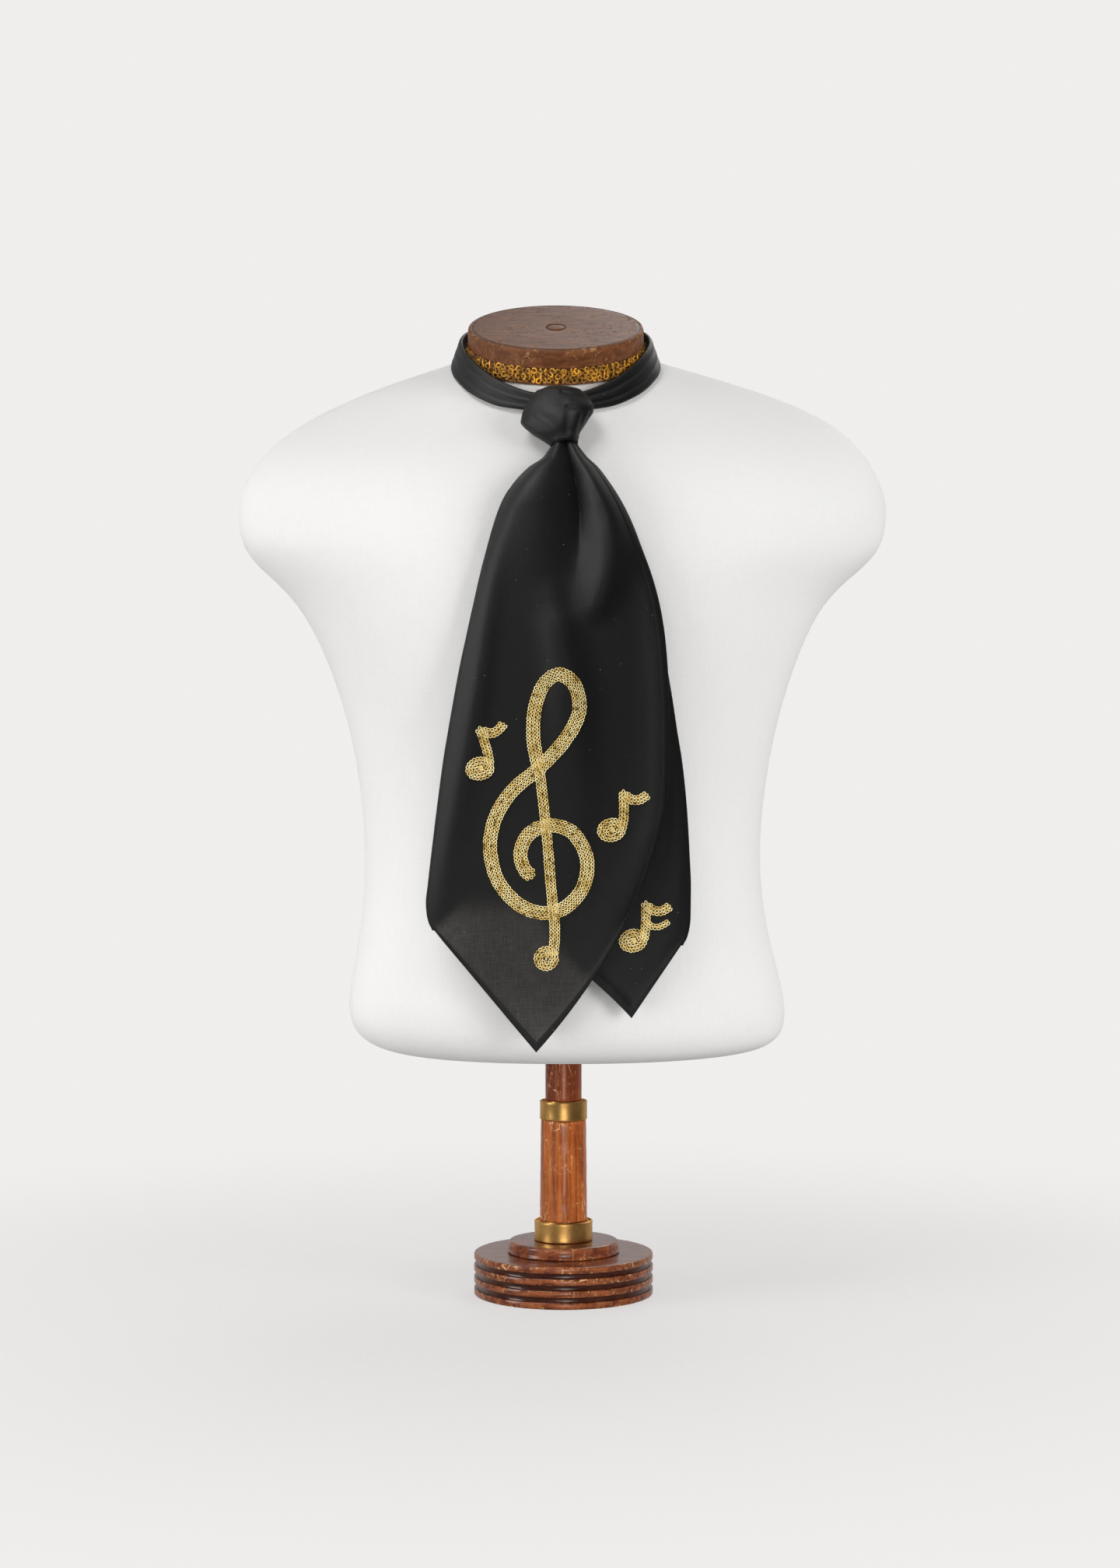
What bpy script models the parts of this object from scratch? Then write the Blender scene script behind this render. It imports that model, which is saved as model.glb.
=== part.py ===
"""A cravat tied on a limbless dress form, every piece at its real size.

Metres, +Z up. The origin is the middle of the stand's underside, and the cravat's front
faces -Y. The tables and the named sizes are in millimetres, as on a cutter's rule, and
each mesh is scaled to metres where it is made.
"""

import math

import bpy

MM = 0.001

# ---------------------------------------------------------------- driving sizes, in mm
GAP = 0.3                    # clear space where two pieces lie against each other

CLOTH = 1.1                  # wall of one layer of the cravat
HEM = 1.6                    # wall of its double-turned hems
HEM_WIDTH = 4.3
WRAP_WALL = 1.6              # wall of the turn round the knot, two layers
BAND_WALL = 2.4              # the band round the neck, folded into several layers

BLADE_TOP = 597.0            # both blades end here, inside the knot
FLAP_TOP = 556.0             # the turned-under margins lie open below this height
FOLD_RADIUS = 1.5            # roundness of the fold at a blade's edge
LAYER_STEP = 1.75            # from the middle of one layer to the middle of the next
FLAP_RISE = 1.02             # how steeply the hem of a turned-under margin climbs from the fold
SIDE_CURVE = 0.0007          # how far a blade falls back to its sides, per mm squared

NECK_TILT = math.radians(21.4)
NECK_X = -5.4                # the neck block sits a little to the wearer's right
NECK_Y = 1.1
NECK_Z = 651.8               # where the neck's axis meets the top of the torso
NECK_HALF_WIDTH = 61.4
NECK_HALF_DEPTH = 64.4
NECK_CORE = 58.5             # half width of the block inside the braid
RING_HEIGHT = 2.4
TRIM_HEIGHT = 9.2
CAP_HEIGHT = 13.3
PLUG_RADIUS = 6.4
PLUG_DEPTH = 1.6

BASE_RADIUS = 62.5
BASE_LANDS = 4
BASE_LAND = 4.3
BASE_GROOVE = 3.8
BASE_GROOVE_DEPTH = 1.9
BOSS_RADIUS = 39.1
BOSS_TOP = 37.0
COLLAR_LOWER_RADIUS = 20.4
COLLAR_LOWER_TOP = 50.9
SLEEVE_RADIUS_BOTTOM = 16.5
SLEEVE_RADIUS_TOP = 15.8
SLEEVE_TOP = 121.3
COLLAR_UPPER_RADIUS = 16.6
COLLAR_UPPER_TOP = 134.6
POLE_RADIUS = 12.7
POLE_TOP = 167.7             # 0.3 under the torso

TURNED_STEPS = 36
TORSO_COLUMNS = 36
TORSO_RINGS = 33
NECK_COLUMNS = 36


# ---------------------------------------------------------------- tables
class Table:
    """Rows under named columns, read on a smooth curve that never overshoots a row."""

    def __init__(self, columns, *rows):
        self.columns = columns.split()
        self.rows = sorted(rows)

    def at(self, key, column):
        place = self.columns.index(column)
        keys = [row[0] for row in self.rows]
        values = [row[place] for row in self.rows]
        if key <= keys[0]:
            return values[0]
        if key >= keys[-1]:
            return values[-1]
        i = max(n for n, known in enumerate(keys) if known <= key)
        step = keys[i + 1] - keys[i]
        slopes = [self.slope(keys, values, n) for n in (i, i + 1)]
        t = (key - keys[i]) / step
        return (
            values[i] * (1 + 2 * t) * (1 - t) ** 2
            + slopes[0] * step * t * (1 - t) ** 2
            + values[i + 1] * t * t * (3 - 2 * t)
            + slopes[1] * step * t * t * (t - 1)
        )

    @staticmethod
    def slope(keys, values, n):
        """Harmonic mean of the slopes to both sides, and none at a peak or an end."""
        if n == 0 or n == len(keys) - 1:
            return 0.0
        before = (values[n] - values[n - 1]) / (keys[n] - keys[n - 1])
        after = (values[n + 1] - values[n]) / (keys[n + 1] - keys[n])
        if before * after <= 0:
            return 0.0
        return 2 * before * after / (before + after)


# Level sections of the torso from the underside up. front and back are the depths before
# and behind the pole's axis, power is the roundness (2 is an ellipse), and tilt lifts the
# back of the section, in degrees.
TORSO = Table(
    "ring z x half_width front back power tilt",
    (0, 168.0, 1.0, 86.0, 62.0, 66.0, 2.2, 0.0),
    (1, 168.7, 1.2, 106.0, 79.0, 83.0, 2.25, 0.0),
    (2, 172.0, 5.6, 132.0, 92.5, 96.5, 2.3, 0.0),
    (3, 179.0, 4.6, 145.8, 101.5, 105.5, 2.3, 0.0),
    (4, 190.0, 3.0, 152.4, 107.5, 111.0, 2.3, 0.0),
    (5, 206.0, 2.0, 153.2, 110.8, 112.8, 2.3, 0.0),
    (6, 226.0, 1.2, 149.0, 112.0, 111.5, 2.3, 0.0),
    (7, 255.0, 0.2, 142.4, 112.2, 106.5, 2.3, 0.0),
    (8, 290.0, -0.6, 138.4, 111.8, 98.5, 2.3, 0.0),
    (9, 325.0, -0.8, 138.2, 111.5, 93.5, 2.3, 0.0),
    (10, 360.0, -0.6, 142.8, 113.0, 93.0, 2.3, 0.0),
    (11, 395.0, -0.6, 149.2, 115.5, 97.0, 2.3, 0.0),
    (12, 425.0, -1.0, 158.0, 117.5, 102.5, 2.3, 0.0),
    (13, 452.0, -1.4, 168.5, 118.3, 107.0, 2.3, 0.0),
    (14, 474.0, -2.0, 179.5, 117.8, 110.5, 2.25, 0.0),
    (15, 491.0, -2.2, 192.5, 116.6, 112.5, 2.2, 0.0),
    (16, 504.0, -1.8, 208.5, 115.2, 113.5, 2.15, 0.0),
    (17, 517.0, -1.2, 221.5, 113.2, 113.5, 2.1, 0.0),
    (18, 532.0, -0.8, 227.4, 110.2, 112.5, 2.05, 0.5),
    (19, 548.0, -0.6, 228.0, 106.2, 110.5, 2.0, 1.5),
    (20, 562.5, -0.4, 224.6, 101.6, 107.5, 1.96, 3.2),
    (21, 576.5, -0.2, 218.2, 96.6, 104.0, 1.9, 5.9),
    (22, 590.5, 0.8, 208.0, 91.0, 99.5, 1.84, 9.7),
    (23, 602.0, 2.0, 194.6, 85.4, 94.5, 1.76, 12.6),
    (24, 612.5, 2.8, 177.2, 79.8, 89.0, 1.68, 15.2),
    (25, 622.5, 1.6, 155.4, 74.4, 82.5, 1.6, 17.9),
    (26, 630.5, -0.8, 133.2, 69.6, 76.5, 1.56, 19.4),
    (27, 636.6, -2.4, 113.6, 65.8, 72.0, 1.56, 20.2),
    (28, 641.0, -3.6, 95.0, 62.8, 68.0, 1.62, 20.8),
    (29, 645.0, -4.6, 78.5, 60.6, 64.4, 1.78, 21.2),
    (30, 648.6, -5.3, 66.0, 59.3, 61.8, 1.95, 21.4),
    (31, 651.2, -5.4, 61.0, 58.6, 60.6, 2.0, 21.4),
)

# How the cravat hangs at each height. hang is the plane behind all its layers, as a depth
# before the pole's axis. tail and front are how far each blade's middle stands before it,
# crown is the front blade's swell, and dimple is the hollow under the knot.
DRAPE = Table(
    "z hang tail front crown tail_crown dimple dimple_x dimple_width",
    (597.0, 84.2, 2.0, 5.2, 5.4, 0.2, 2.6, 0.9, 3.2),
    (590.0, 87.0, 2.0, 5.2, 6.0, 0.3, 3.6, 1.0, 3.2),
    (583.0, 90.0, 2.0, 5.4, 7.2, 0.5, 4.8, 1.2, 3.5),
    (577.0, 93.4, 2.2, 5.6, 8.6, 0.8, 6.6, 1.4, 4.2),
    (570.0, 97.6, 2.4, 5.8, 9.6, 1.0, 8.0, 1.8, 5.0),
    (559.0, 103.4, 2.7, 6.0, 10.0, 1.2, 9.2, 2.4, 6.2),
    (548.0, 107.8, 3.0, 6.2, 9.6, 1.5, 9.2, 3.2, 7.6),
    (538.0, 110.8, 3.1, 6.3, 9.0, 1.6, 8.8, 4.0, 9.0),
    (517.0, 115.4, 3.2, 6.4, 7.2, 1.6, 7.4, 5.0, 11.5),
    (497.0, 118.0, 3.2, 6.4, 5.8, 1.4, 5.2, 4.4, 14.0),
    (482.0, 119.2, 3.2, 6.4, 5.0, 1.2, 2.6, 3.0, 17.0),
    (462.0, 120.0, 3.2, 6.4, 4.4, 1.0, 0.0, 2.0, 18.0),
    (435.0, 120.2, 3.2, 6.4, 3.8, 0.8, 0.0, 2.0, 18.0),
    (394.0, 119.4, 3.2, 6.4, 3.2, 0.6, 0.0, 2.0, 18.0),
    (353.0, 118.0, 3.2, 6.4, 3.0, 0.6, 0.0, 2.0, 18.0),
    (312.0, 116.6, 3.2, 6.4, 2.6, 0.6, 0.0, 2.0, 18.0),
    (268.0, 115.4, 3.2, 6.4, 1.8, 0.4, 0.0, 2.0, 18.0),
    (230.0, 114.9, 3.2, 6.4, 1.0, 0.2, 0.0, 2.0, 18.0),
    (180.0, 114.6, 3.2, 6.4, 0.3, 0.0, 0.0, 2.0, 18.0),
)

# The front blade's fold on the left and its hemmed edge on the right, and the width of
# the margin turned under behind the fold.
FRONT_EDGES = Table(
    "z left right flap",
    (597.0, -5.4, 6.4, 2.0),
    (590.0, -5.4, 6.4, 3.0),
    (585.0, -5.7, 6.6, 3.0),
    (582.5, -7.4, 8.4, 4.0),
    (576.2, -13.9, 15.6, 7.0),
    (569.7, -23.0, 22.4, 12.0),
    (559.0, -32.8, 30.2, 18.0),
    (548.4, -39.6, 36.8, 23.0),
    (538.0, -43.9, 42.2, 27.0),
    (527.5, -47.2, 46.7, 30.0),
    (517.0, -50.0, 50.6, 33.0),
    (496.5, -55.2, 58.0, 36.0),
    (476.0, -59.8, 63.4, 38.0),
    (455.5, -64.3, 66.6, 38.0),
    (435.0, -68.7, 68.3, 38.0),
    (414.6, -72.5, 69.1, 37.0),
    (394.0, -76.1, 69.5, 36.0),
    (373.6, -79.5, 69.5, 35.0),
    (353.0, -82.3, 68.6, 34.0),
    (332.6, -84.9, 65.2, 32.0),
    (312.0, -87.4, 59.2, 30.0),
    (291.5, -90.0, 51.8, 28.0),
    (268.6, -91.9, 40.5, 26.0),
    (262.0, -92.0, 37.0, 26.0),
)
FRONT_TIP = (-18.0, 182.0)
FRONT_CORNER_LEFT = 262.0
FRONT_CORNER_RIGHT = 272.0
FRONT_HEM_BOW = 5.0          # the right half of the point's edge bows out, at most this far

# The back blade's hemmed edge on the left, hidden, and its fold on the right.
BACK_EDGES = Table(
    "z left right flap",
    (597.0, -4.0, 4.4, 2.0),
    (590.0, -4.2, 4.6, 3.0),
    (583.0, -6.0, 8.0, 4.0),
    (576.2, -10.0, 11.8, 6.0),
    (569.7, -15.0, 17.5, 9.0),
    (559.0, -21.0, 25.0, 14.0),
    (548.4, -27.0, 31.5, 19.0),
    (538.0, -31.5, 37.0, 24.0),
    (517.0, -38.5, 46.0, 32.0),
    (496.5, -44.0, 53.5, 38.0),
    (476.0, -49.0, 59.5, 42.0),
    (455.5, -53.0, 64.0, 45.0),
    (435.0, -56.5, 68.4, 47.0),
    (414.6, -59.5, 71.9, 48.0),
    (394.0, -62.0, 75.0, 48.0),
    (373.6, -64.5, 78.3, 48.0),
    (353.0, -66.5, 80.6, 48.0),
    (332.6, -68.3, 82.2, 47.0),
    (312.0, -70.0, 83.3, 46.0),
    (291.0, -71.0, 84.2, 46.0),
    (252.0, -72.0, 84.4, 45.0),
)
BACK_TIP = (45.0, 204.0)
BACK_CORNER_LEFT = 291.0
BACK_CORNER_RIGHT = 252.0
BACK_HEM_BOW = -9.5          # the left half of its edge is hollow instead

# The front blade's soft ridges: where each runs, how wide it is and how far it stands out.
FRONT_RIDGES = {
    "left": Table(
        "z x width height",
        (572.0, -16.0, 6.0, 0.0),
        (548.0, -31.0, 7.0, 1.0),
        (517.0, -42.0, 8.5, 2.2),
        (476.0, -50.0, 10.0, 2.8),
        (435.0, -54.0, 11.0, 2.6),
        (394.0, -58.0, 11.0, 1.8),
        (340.0, -66.0, 12.0, 0.0),
    ),
    "middle": Table(
        "z x width height",
        (530.0, -13.0, 8.0, 0.0),
        (497.0, -14.0, 10.0, 1.4),
        (468.0, -11.0, 13.0, 2.4),
        (425.0, -6.0, 15.0, 1.8),
        (370.0, 2.0, 18.0, 0.8),
        (310.0, 4.0, 20.0, 0.0),
    ),
    "right_of_dimple": Table(
        "z x width height",
        (578.0, 8.0, 4.0, 0.0),
        (559.0, 15.0, 5.0, 1.2),
        (538.0, 23.0, 6.5, 2.4),
        (515.0, 30.0, 8.0, 3.2),
        (490.0, 27.0, 9.0, 2.8),
        (466.0, 19.0, 10.0, 1.4),
        (440.0, 14.0, 11.0, 0.0),
    ),
    "right": Table(
        "z x width height",
        (500.0, 46.0, 7.0, 0.0),
        (447.0, 46.0, 9.0, 1.8),
        (400.0, 46.0, 10.0, 2.2),
        (355.0, 42.0, 11.0, 1.4),
        (310.0, 34.0, 12.0, 0.0),
    ),
    "hem_stand_off": Table(
        "z x width height",
        (440.0, 72.0, 10.0, 0.0),
        (390.0, 70.0, 11.0, 1.6),
        (345.0, 66.0, 12.0, 2.6),
        (310.0, 58.0, 13.0, 1.8),
        (270.0, 42.0, 14.0, 0.0),
    ),
}
BACK_RIDGES = {
    "beside_fold": Table(
        "z x width height",
        (440.0, 66.0, 7.0, 0.0),
        (380.0, 73.0, 7.5, 1.4),
        (320.0, 77.0, 8.0, 2.0),
        (265.0, 74.0, 10.0, 1.2),
        (225.0, 56.0, 12.0, 0.0),
    ),
}

# The turn round the knot, from the ring at its foot to the rim on top: middle, half width
# and half depth of the outside, how far the front is pulled up, and the sideways lean.
KNOT = Table(
    "ring z x y half_width half_depth lift roll",
    (0, 585.0, 0.7, -94.4, 9.4, 8.3, 7.0, 0.5),
    (1, 588.5, -2.2, -93.2, 11.8, 9.6, 6.0, 0.5),
    (2, 594.0, -4.8, -90.6, 16.6, 11.4, 4.0, 1.0),
    (3, 600.0, -5.1, -87.4, 21.9, 12.6, 2.2, 2.2),
    (4, 605.0, -4.4, -84.8, 24.6, 13.0, 1.0, 3.2),
    (5, 610.0, -3.8, -82.2, 24.2, 12.8, 0.4, 2.6),
    (6, 615.5, -3.3, -79.2, 21.8, 12.0, 0.0, 1.4),
    (7, 620.5, -3.1, -76.6, 18.6, 10.6, 0.0, 0.6),
    (8, 623.4, -3.0, -75.4, 15.4, 9.2, 0.0, 0.2),
)
KNOT_RINGS = 11
KNOT_COLUMNS = 32
TURN_CLEAR = 3.4             # from the outside of the wrap to the outside of the turn
TURN_BOTTOM_RING = 2.9
TURN_RINGS = 6
TURN_CROWN = 4.2             # how far the turn rises over the rim
TURN_CROWN_RINGS = (0.3, 0.6, 0.85, 1.0)
TURN_CROWN_INSET = 6.0

# The band round the neck, by the angle from the front: the edge along its top and the edge
# along its foot, each as a distance from the neck's axis and a height.
BAND = Table(
    "angle top_radius top_z foot_radius foot_z",
    (0.0, 62.3, 622.5, 67.8, 610.0),
    (10.0, 62.5, 622.8, 68.0, 610.4),
    (30.0, 63.2, 629.4, 70.0, 613.4),
    (50.0, 64.6, 641.6, 73.0, 622.9),
    (70.0, 65.0, 655.2, 73.0, 636.4),
    (90.0, 64.9, 666.4, 71.4, 648.1),
    (115.0, 64.5, 676.6, 70.8, 658.9),
    (145.0, 63.6, 683.6, 71.4, 664.5),
    (180.0, 62.9, 686.4, 72.6, 665.4),
)
BAND_FRONT_ANGLE = 10.0      # the band's ends lie behind the knot, this far from the front
BAND_STEPS = 44
BAND_MIDDLE_Y = -1.0


# ---------------------------------------------------------------- making things
def clear_scene():
    for thing in list(bpy.data.objects):
        bpy.data.objects.remove(thing, do_unlink=True)


def material(name, colour, roughness, metallic=0.0):
    made = bpy.data.materials.new(name)
    made.use_nodes = True
    shader = made.node_tree.nodes["Principled BSDF"]
    shader.inputs["Base Color"].default_value = (*colour, 1.0)
    shader.inputs["Roughness"].default_value = roughness
    shader.inputs["Metallic"].default_value = metallic
    return made


def add_object(name, mesh, finish, smooth_angle=40.0):
    mesh.materials.append(finish)
    mesh.shade_smooth()
    mesh.set_sharp_from_angle(angle=math.radians(smooth_angle))
    thing = bpy.data.objects.new(name, mesh)
    collection.objects.link(thing)
    return thing


def mesh_of(name, points, faces):
    """A mesh from points in mm."""
    mesh = bpy.data.meshes.new(name)
    mesh.from_pydata([[v * MM for v in point] for point in points], [], faces)
    mesh.update()
    return mesh


def loft(name, rings, finish, closed_ends=True, joined_ends=False):
    """Closed rings of points, each seen anticlockwise from the far end, skinned in turn."""
    count = len(rings[0])
    points = [point for ring in rings for point in ring]
    faces = []
    last = len(rings) if joined_ends else len(rings) - 1
    for i in range(last):
        low = i * count
        high = (i + 1) % len(rings) * count
        for k in range(count):
            after = (k + 1) % count
            faces.append((low + k, low + after, high + after, high + k))
    if closed_ends and not joined_ends:
        faces.append(tuple(reversed(range(count))))
        faces.append(tuple(range(len(points) - count, len(points))))
    return add_object(name, mesh_of(name, points, faces), finish)


def turned(name, profile, finish):
    """A profile of (radius, z) from the top down, turned round the pole's axis."""
    mesh = bpy.data.meshes.new(name)
    points = [(radius * MM, 0.0, z * MM) for radius, z in profile]
    mesh.from_pydata(points, [(i, i + 1) for i in range(len(points) - 1)], [])
    thing = add_object(name, mesh, finish, 35.0)
    screw = thing.modifiers.new("Turn", "SCREW")
    screw.axis = "Z"
    screw.steps = TURNED_STEPS
    screw.render_steps = TURNED_STEPS
    screw.use_merge_vertices = True
    screw.merge_threshold = 0.00001
    screw.use_smooth_shade = True
    return thing


def rounded_bar(radius, bottom, top, edge, top_radius=None):
    """Profile of a plain turned bar with a small round on both rims."""
    upper = radius if top_radius is None else top_radius
    turn = math.radians(45.0)
    inset = edge * (1.0 - math.cos(turn))
    return [
        (0.0, top),
        (upper - edge, top),
        (upper - inset, top - inset),
        (upper, top - edge),
        (radius, bottom + edge),
        (radius - inset, bottom + inset),
        (radius - edge, bottom),
        (0.0, bottom),
    ]


# ---------------------------------------------------------------- the stand
def base_disc(finish):
    """The grooved round base: lands with a round groove between each two."""
    height = BASE_LANDS * BASE_LAND + (BASE_LANDS - 1) * BASE_GROOVE
    profile = [(0.0, height), (BASE_RADIUS - 1.6, height), (BASE_RADIUS - 0.5, height - 0.5)]
    z = height - 1.6
    floor = BASE_RADIUS - BASE_GROOVE_DEPTH
    for land in range(BASE_LANDS):
        profile.append((BASE_RADIUS, z))
        z = height - land * (BASE_LAND + BASE_GROOVE) - BASE_LAND
        if land < BASE_LANDS - 1:
            profile += [
                (BASE_RADIUS, z),
                (floor, z - 0.6),
                (floor, z - BASE_GROOVE + 0.6),
            ]
            z -= BASE_GROOVE
    profile += [(BASE_RADIUS, 1.0), (BASE_RADIUS - 1.0, 0.0), (0.0, 0.0)]
    return turned("base_disc", profile, finish)


def base_boss(finish):
    """The low boss with a thin lip at its foot."""
    bottom = BASE_LANDS * BASE_LAND + (BASE_LANDS - 1) * BASE_GROOVE + GAP
    profile = [
        (0.0, BOSS_TOP),
        (BOSS_RADIUS - 3.4, BOSS_TOP),
        (BOSS_RADIUS - 1.4, BOSS_TOP - 0.8),
        (BOSS_RADIUS - 0.6, BOSS_TOP - 2.6),
        (BOSS_RADIUS - 0.8, bottom + 2.4),
        (BOSS_RADIUS - 0.2, bottom + 1.9),
        (BOSS_RADIUS, bottom + 1.0),
        (BOSS_RADIUS - 0.4, bottom),
        (0.0, bottom),
    ]
    return turned("base_boss", profile, finish)


def stand(wood, brass):
    base_disc(wood)
    base_boss(wood)
    turned(
        "collar_lower",
        rounded_bar(COLLAR_LOWER_RADIUS, BOSS_TOP + GAP, COLLAR_LOWER_TOP, 0.6),
        brass,
    )
    turned(
        "pole_sleeve",
        rounded_bar(
            SLEEVE_RADIUS_BOTTOM, COLLAR_LOWER_TOP + GAP, SLEEVE_TOP, 0.4, SLEEVE_RADIUS_TOP
        ),
        wood,
    )
    turned(
        "collar_upper",
        rounded_bar(COLLAR_UPPER_RADIUS, SLEEVE_TOP + GAP, COLLAR_UPPER_TOP, 0.8),
        brass,
    )
    turned(
        "pole_upper",
        rounded_bar(POLE_RADIUS, COLLAR_UPPER_TOP + GAP, POLE_TOP, 0.4),
        wood,
    )


# ---------------------------------------------------------------- the form
def signed_power(value, power):
    return math.copysign(abs(value) ** power, value)


def torso_ring(level):
    """One section of the torso, at a place between the rows of its table."""
    row = {name: TORSO.at(level, name) for name in TORSO.columns[1:]}
    slope = math.tan(math.radians(row["tilt"]))
    ring = []
    for k in range(TORSO_COLUMNS):
        angle = 2 * math.pi * k / TORSO_COLUMNS
        across = signed_power(math.cos(angle), 2 / row["power"])
        along = signed_power(math.sin(angle), 2 / row["power"])
        y = along * (row["back"] if along > 0 else row["front"])
        ring.append((row["x"] + across * row["half_width"], y, row["z"] + slope * y))
    return ring


def form_torso(finish):
    last = len(TORSO.rows) - 1
    levels = [last * i / (TORSO_RINGS - 1) for i in range(TORSO_RINGS)]
    return loft("form_torso", [torso_ring(level) for level in levels], finish)


def neck_ring(offset, half_width, half_depth):
    """An oval round the neck's axis, this far above the torso."""
    sine, cosine = math.sin(NECK_TILT), math.cos(NECK_TILT)
    ring = []
    for k in range(NECK_COLUMNS):
        angle = 2 * math.pi * k / NECK_COLUMNS
        x = half_width * math.cos(angle)
        v = half_depth * math.sin(angle)
        ring.append(
            (NECK_X + x, NECK_Y + v * cosine - offset * sine, NECK_Z + v * sine + offset * cosine)
        )
    return ring


def neck_section(section):
    """Ovals from (height above the torso, how far inside the neck's full size)."""
    return [
        neck_ring(offset, NECK_HALF_WIDTH - inset, NECK_HALF_DEPTH - inset)
        for offset, inset in section
    ]


def neck_stack(wood, dark, gimp):
    """The beading and the gold braid round the core of the wooden neck block."""
    core = NECK_HALF_WIDTH - NECK_CORE
    hole = core - GAP
    low, high = GAP, RING_HEIGHT
    section = [(low, hole), (low, 0.9), (0.5 * (low + high), 0.2), (high, 0.9), (high, hole)]
    loft("neck_ring", neck_section(section), dark, joined_ends=True)

    low, high = RING_HEIGHT + GAP, RING_HEIGHT + TRIM_HEIGHT
    middle = 0.5 * (low + high)
    section = [(low, hole), (low, 0.6), (low + 1.6, -0.9), (middle, -1.5)]
    section += [(high - 1.6, -0.9), (high, 0.6), (high, hole)]
    loft("neck_trim", neck_section(section), gimp, joined_ends=True)

    flange = RING_HEIGHT + TRIM_HEIGHT + GAP
    top = RING_HEIGHT + TRIM_HEIGHT + CAP_HEIGHT
    floor = top - PLUG_DEPTH
    section = [(GAP, core + 0.4), (0.8, core), (flange, core), (flange, 0.8), (flange + 0.6, 0.2)]
    section += [(top - 1.2, 0.0), (top - 0.3, 0.5), (top, 1.4)]
    hole = PLUG_RADIUS + GAP
    rings = neck_section(section) + [neck_ring(top, hole, hole), neck_ring(floor, hole, hole)]
    loft("neck_cap", rings, wood)
    round_edge = PLUG_RADIUS - 0.4
    plug = [
        neck_ring(floor + GAP, PLUG_RADIUS, PLUG_RADIUS),
        neck_ring(top - 0.2, PLUG_RADIUS, PLUG_RADIUS),
        neck_ring(top, round_edge, round_edge),
    ]
    loft("neck_plug", plug, wood)


# ---------------------------------------------------------------- the hanging blades
def ridge_height(ridges, x, z):
    total = 0.0
    for ridge in ridges.values():
        away = (x - ridge.at(z, "x")) / ridge.at(z, "width")
        total += ridge.at(z, "height") * math.exp(-away * away)
    return total


def hang_y(x, z):
    """The plane behind every layer, falling back a little to the sides."""
    return -DRAPE.at(z, "hang") + SIDE_CURVE * x * x


def front_y(x, z, side):
    """Depth of the front blade's middle. side runs from -1 at the fold to 1 at the hem."""
    swell = DRAPE.at(z, "crown") * (1.0 - min(1.0, abs(side)) ** 2.5)
    away = (x - DRAPE.at(z, "dimple_x")) / DRAPE.at(z, "dimple_width")
    hollow = DRAPE.at(z, "dimple") * math.exp(-away * away)
    lift = DRAPE.at(z, "front") + swell - hollow + ridge_height(FRONT_RIDGES, x, z)
    return hang_y(x, z) - lift


def back_y(x, z, side):
    """Depth of the back blade's middle. side runs from -1 at the hem to 1 at the fold."""
    swell = DRAPE.at(z, "tail_crown") * (1.0 - min(1.0, abs(side)) ** 2.5)
    return hang_y(x, z) - DRAPE.at(z, "tail") - swell - ridge_height(BACK_RIDGES, x, z)


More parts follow.
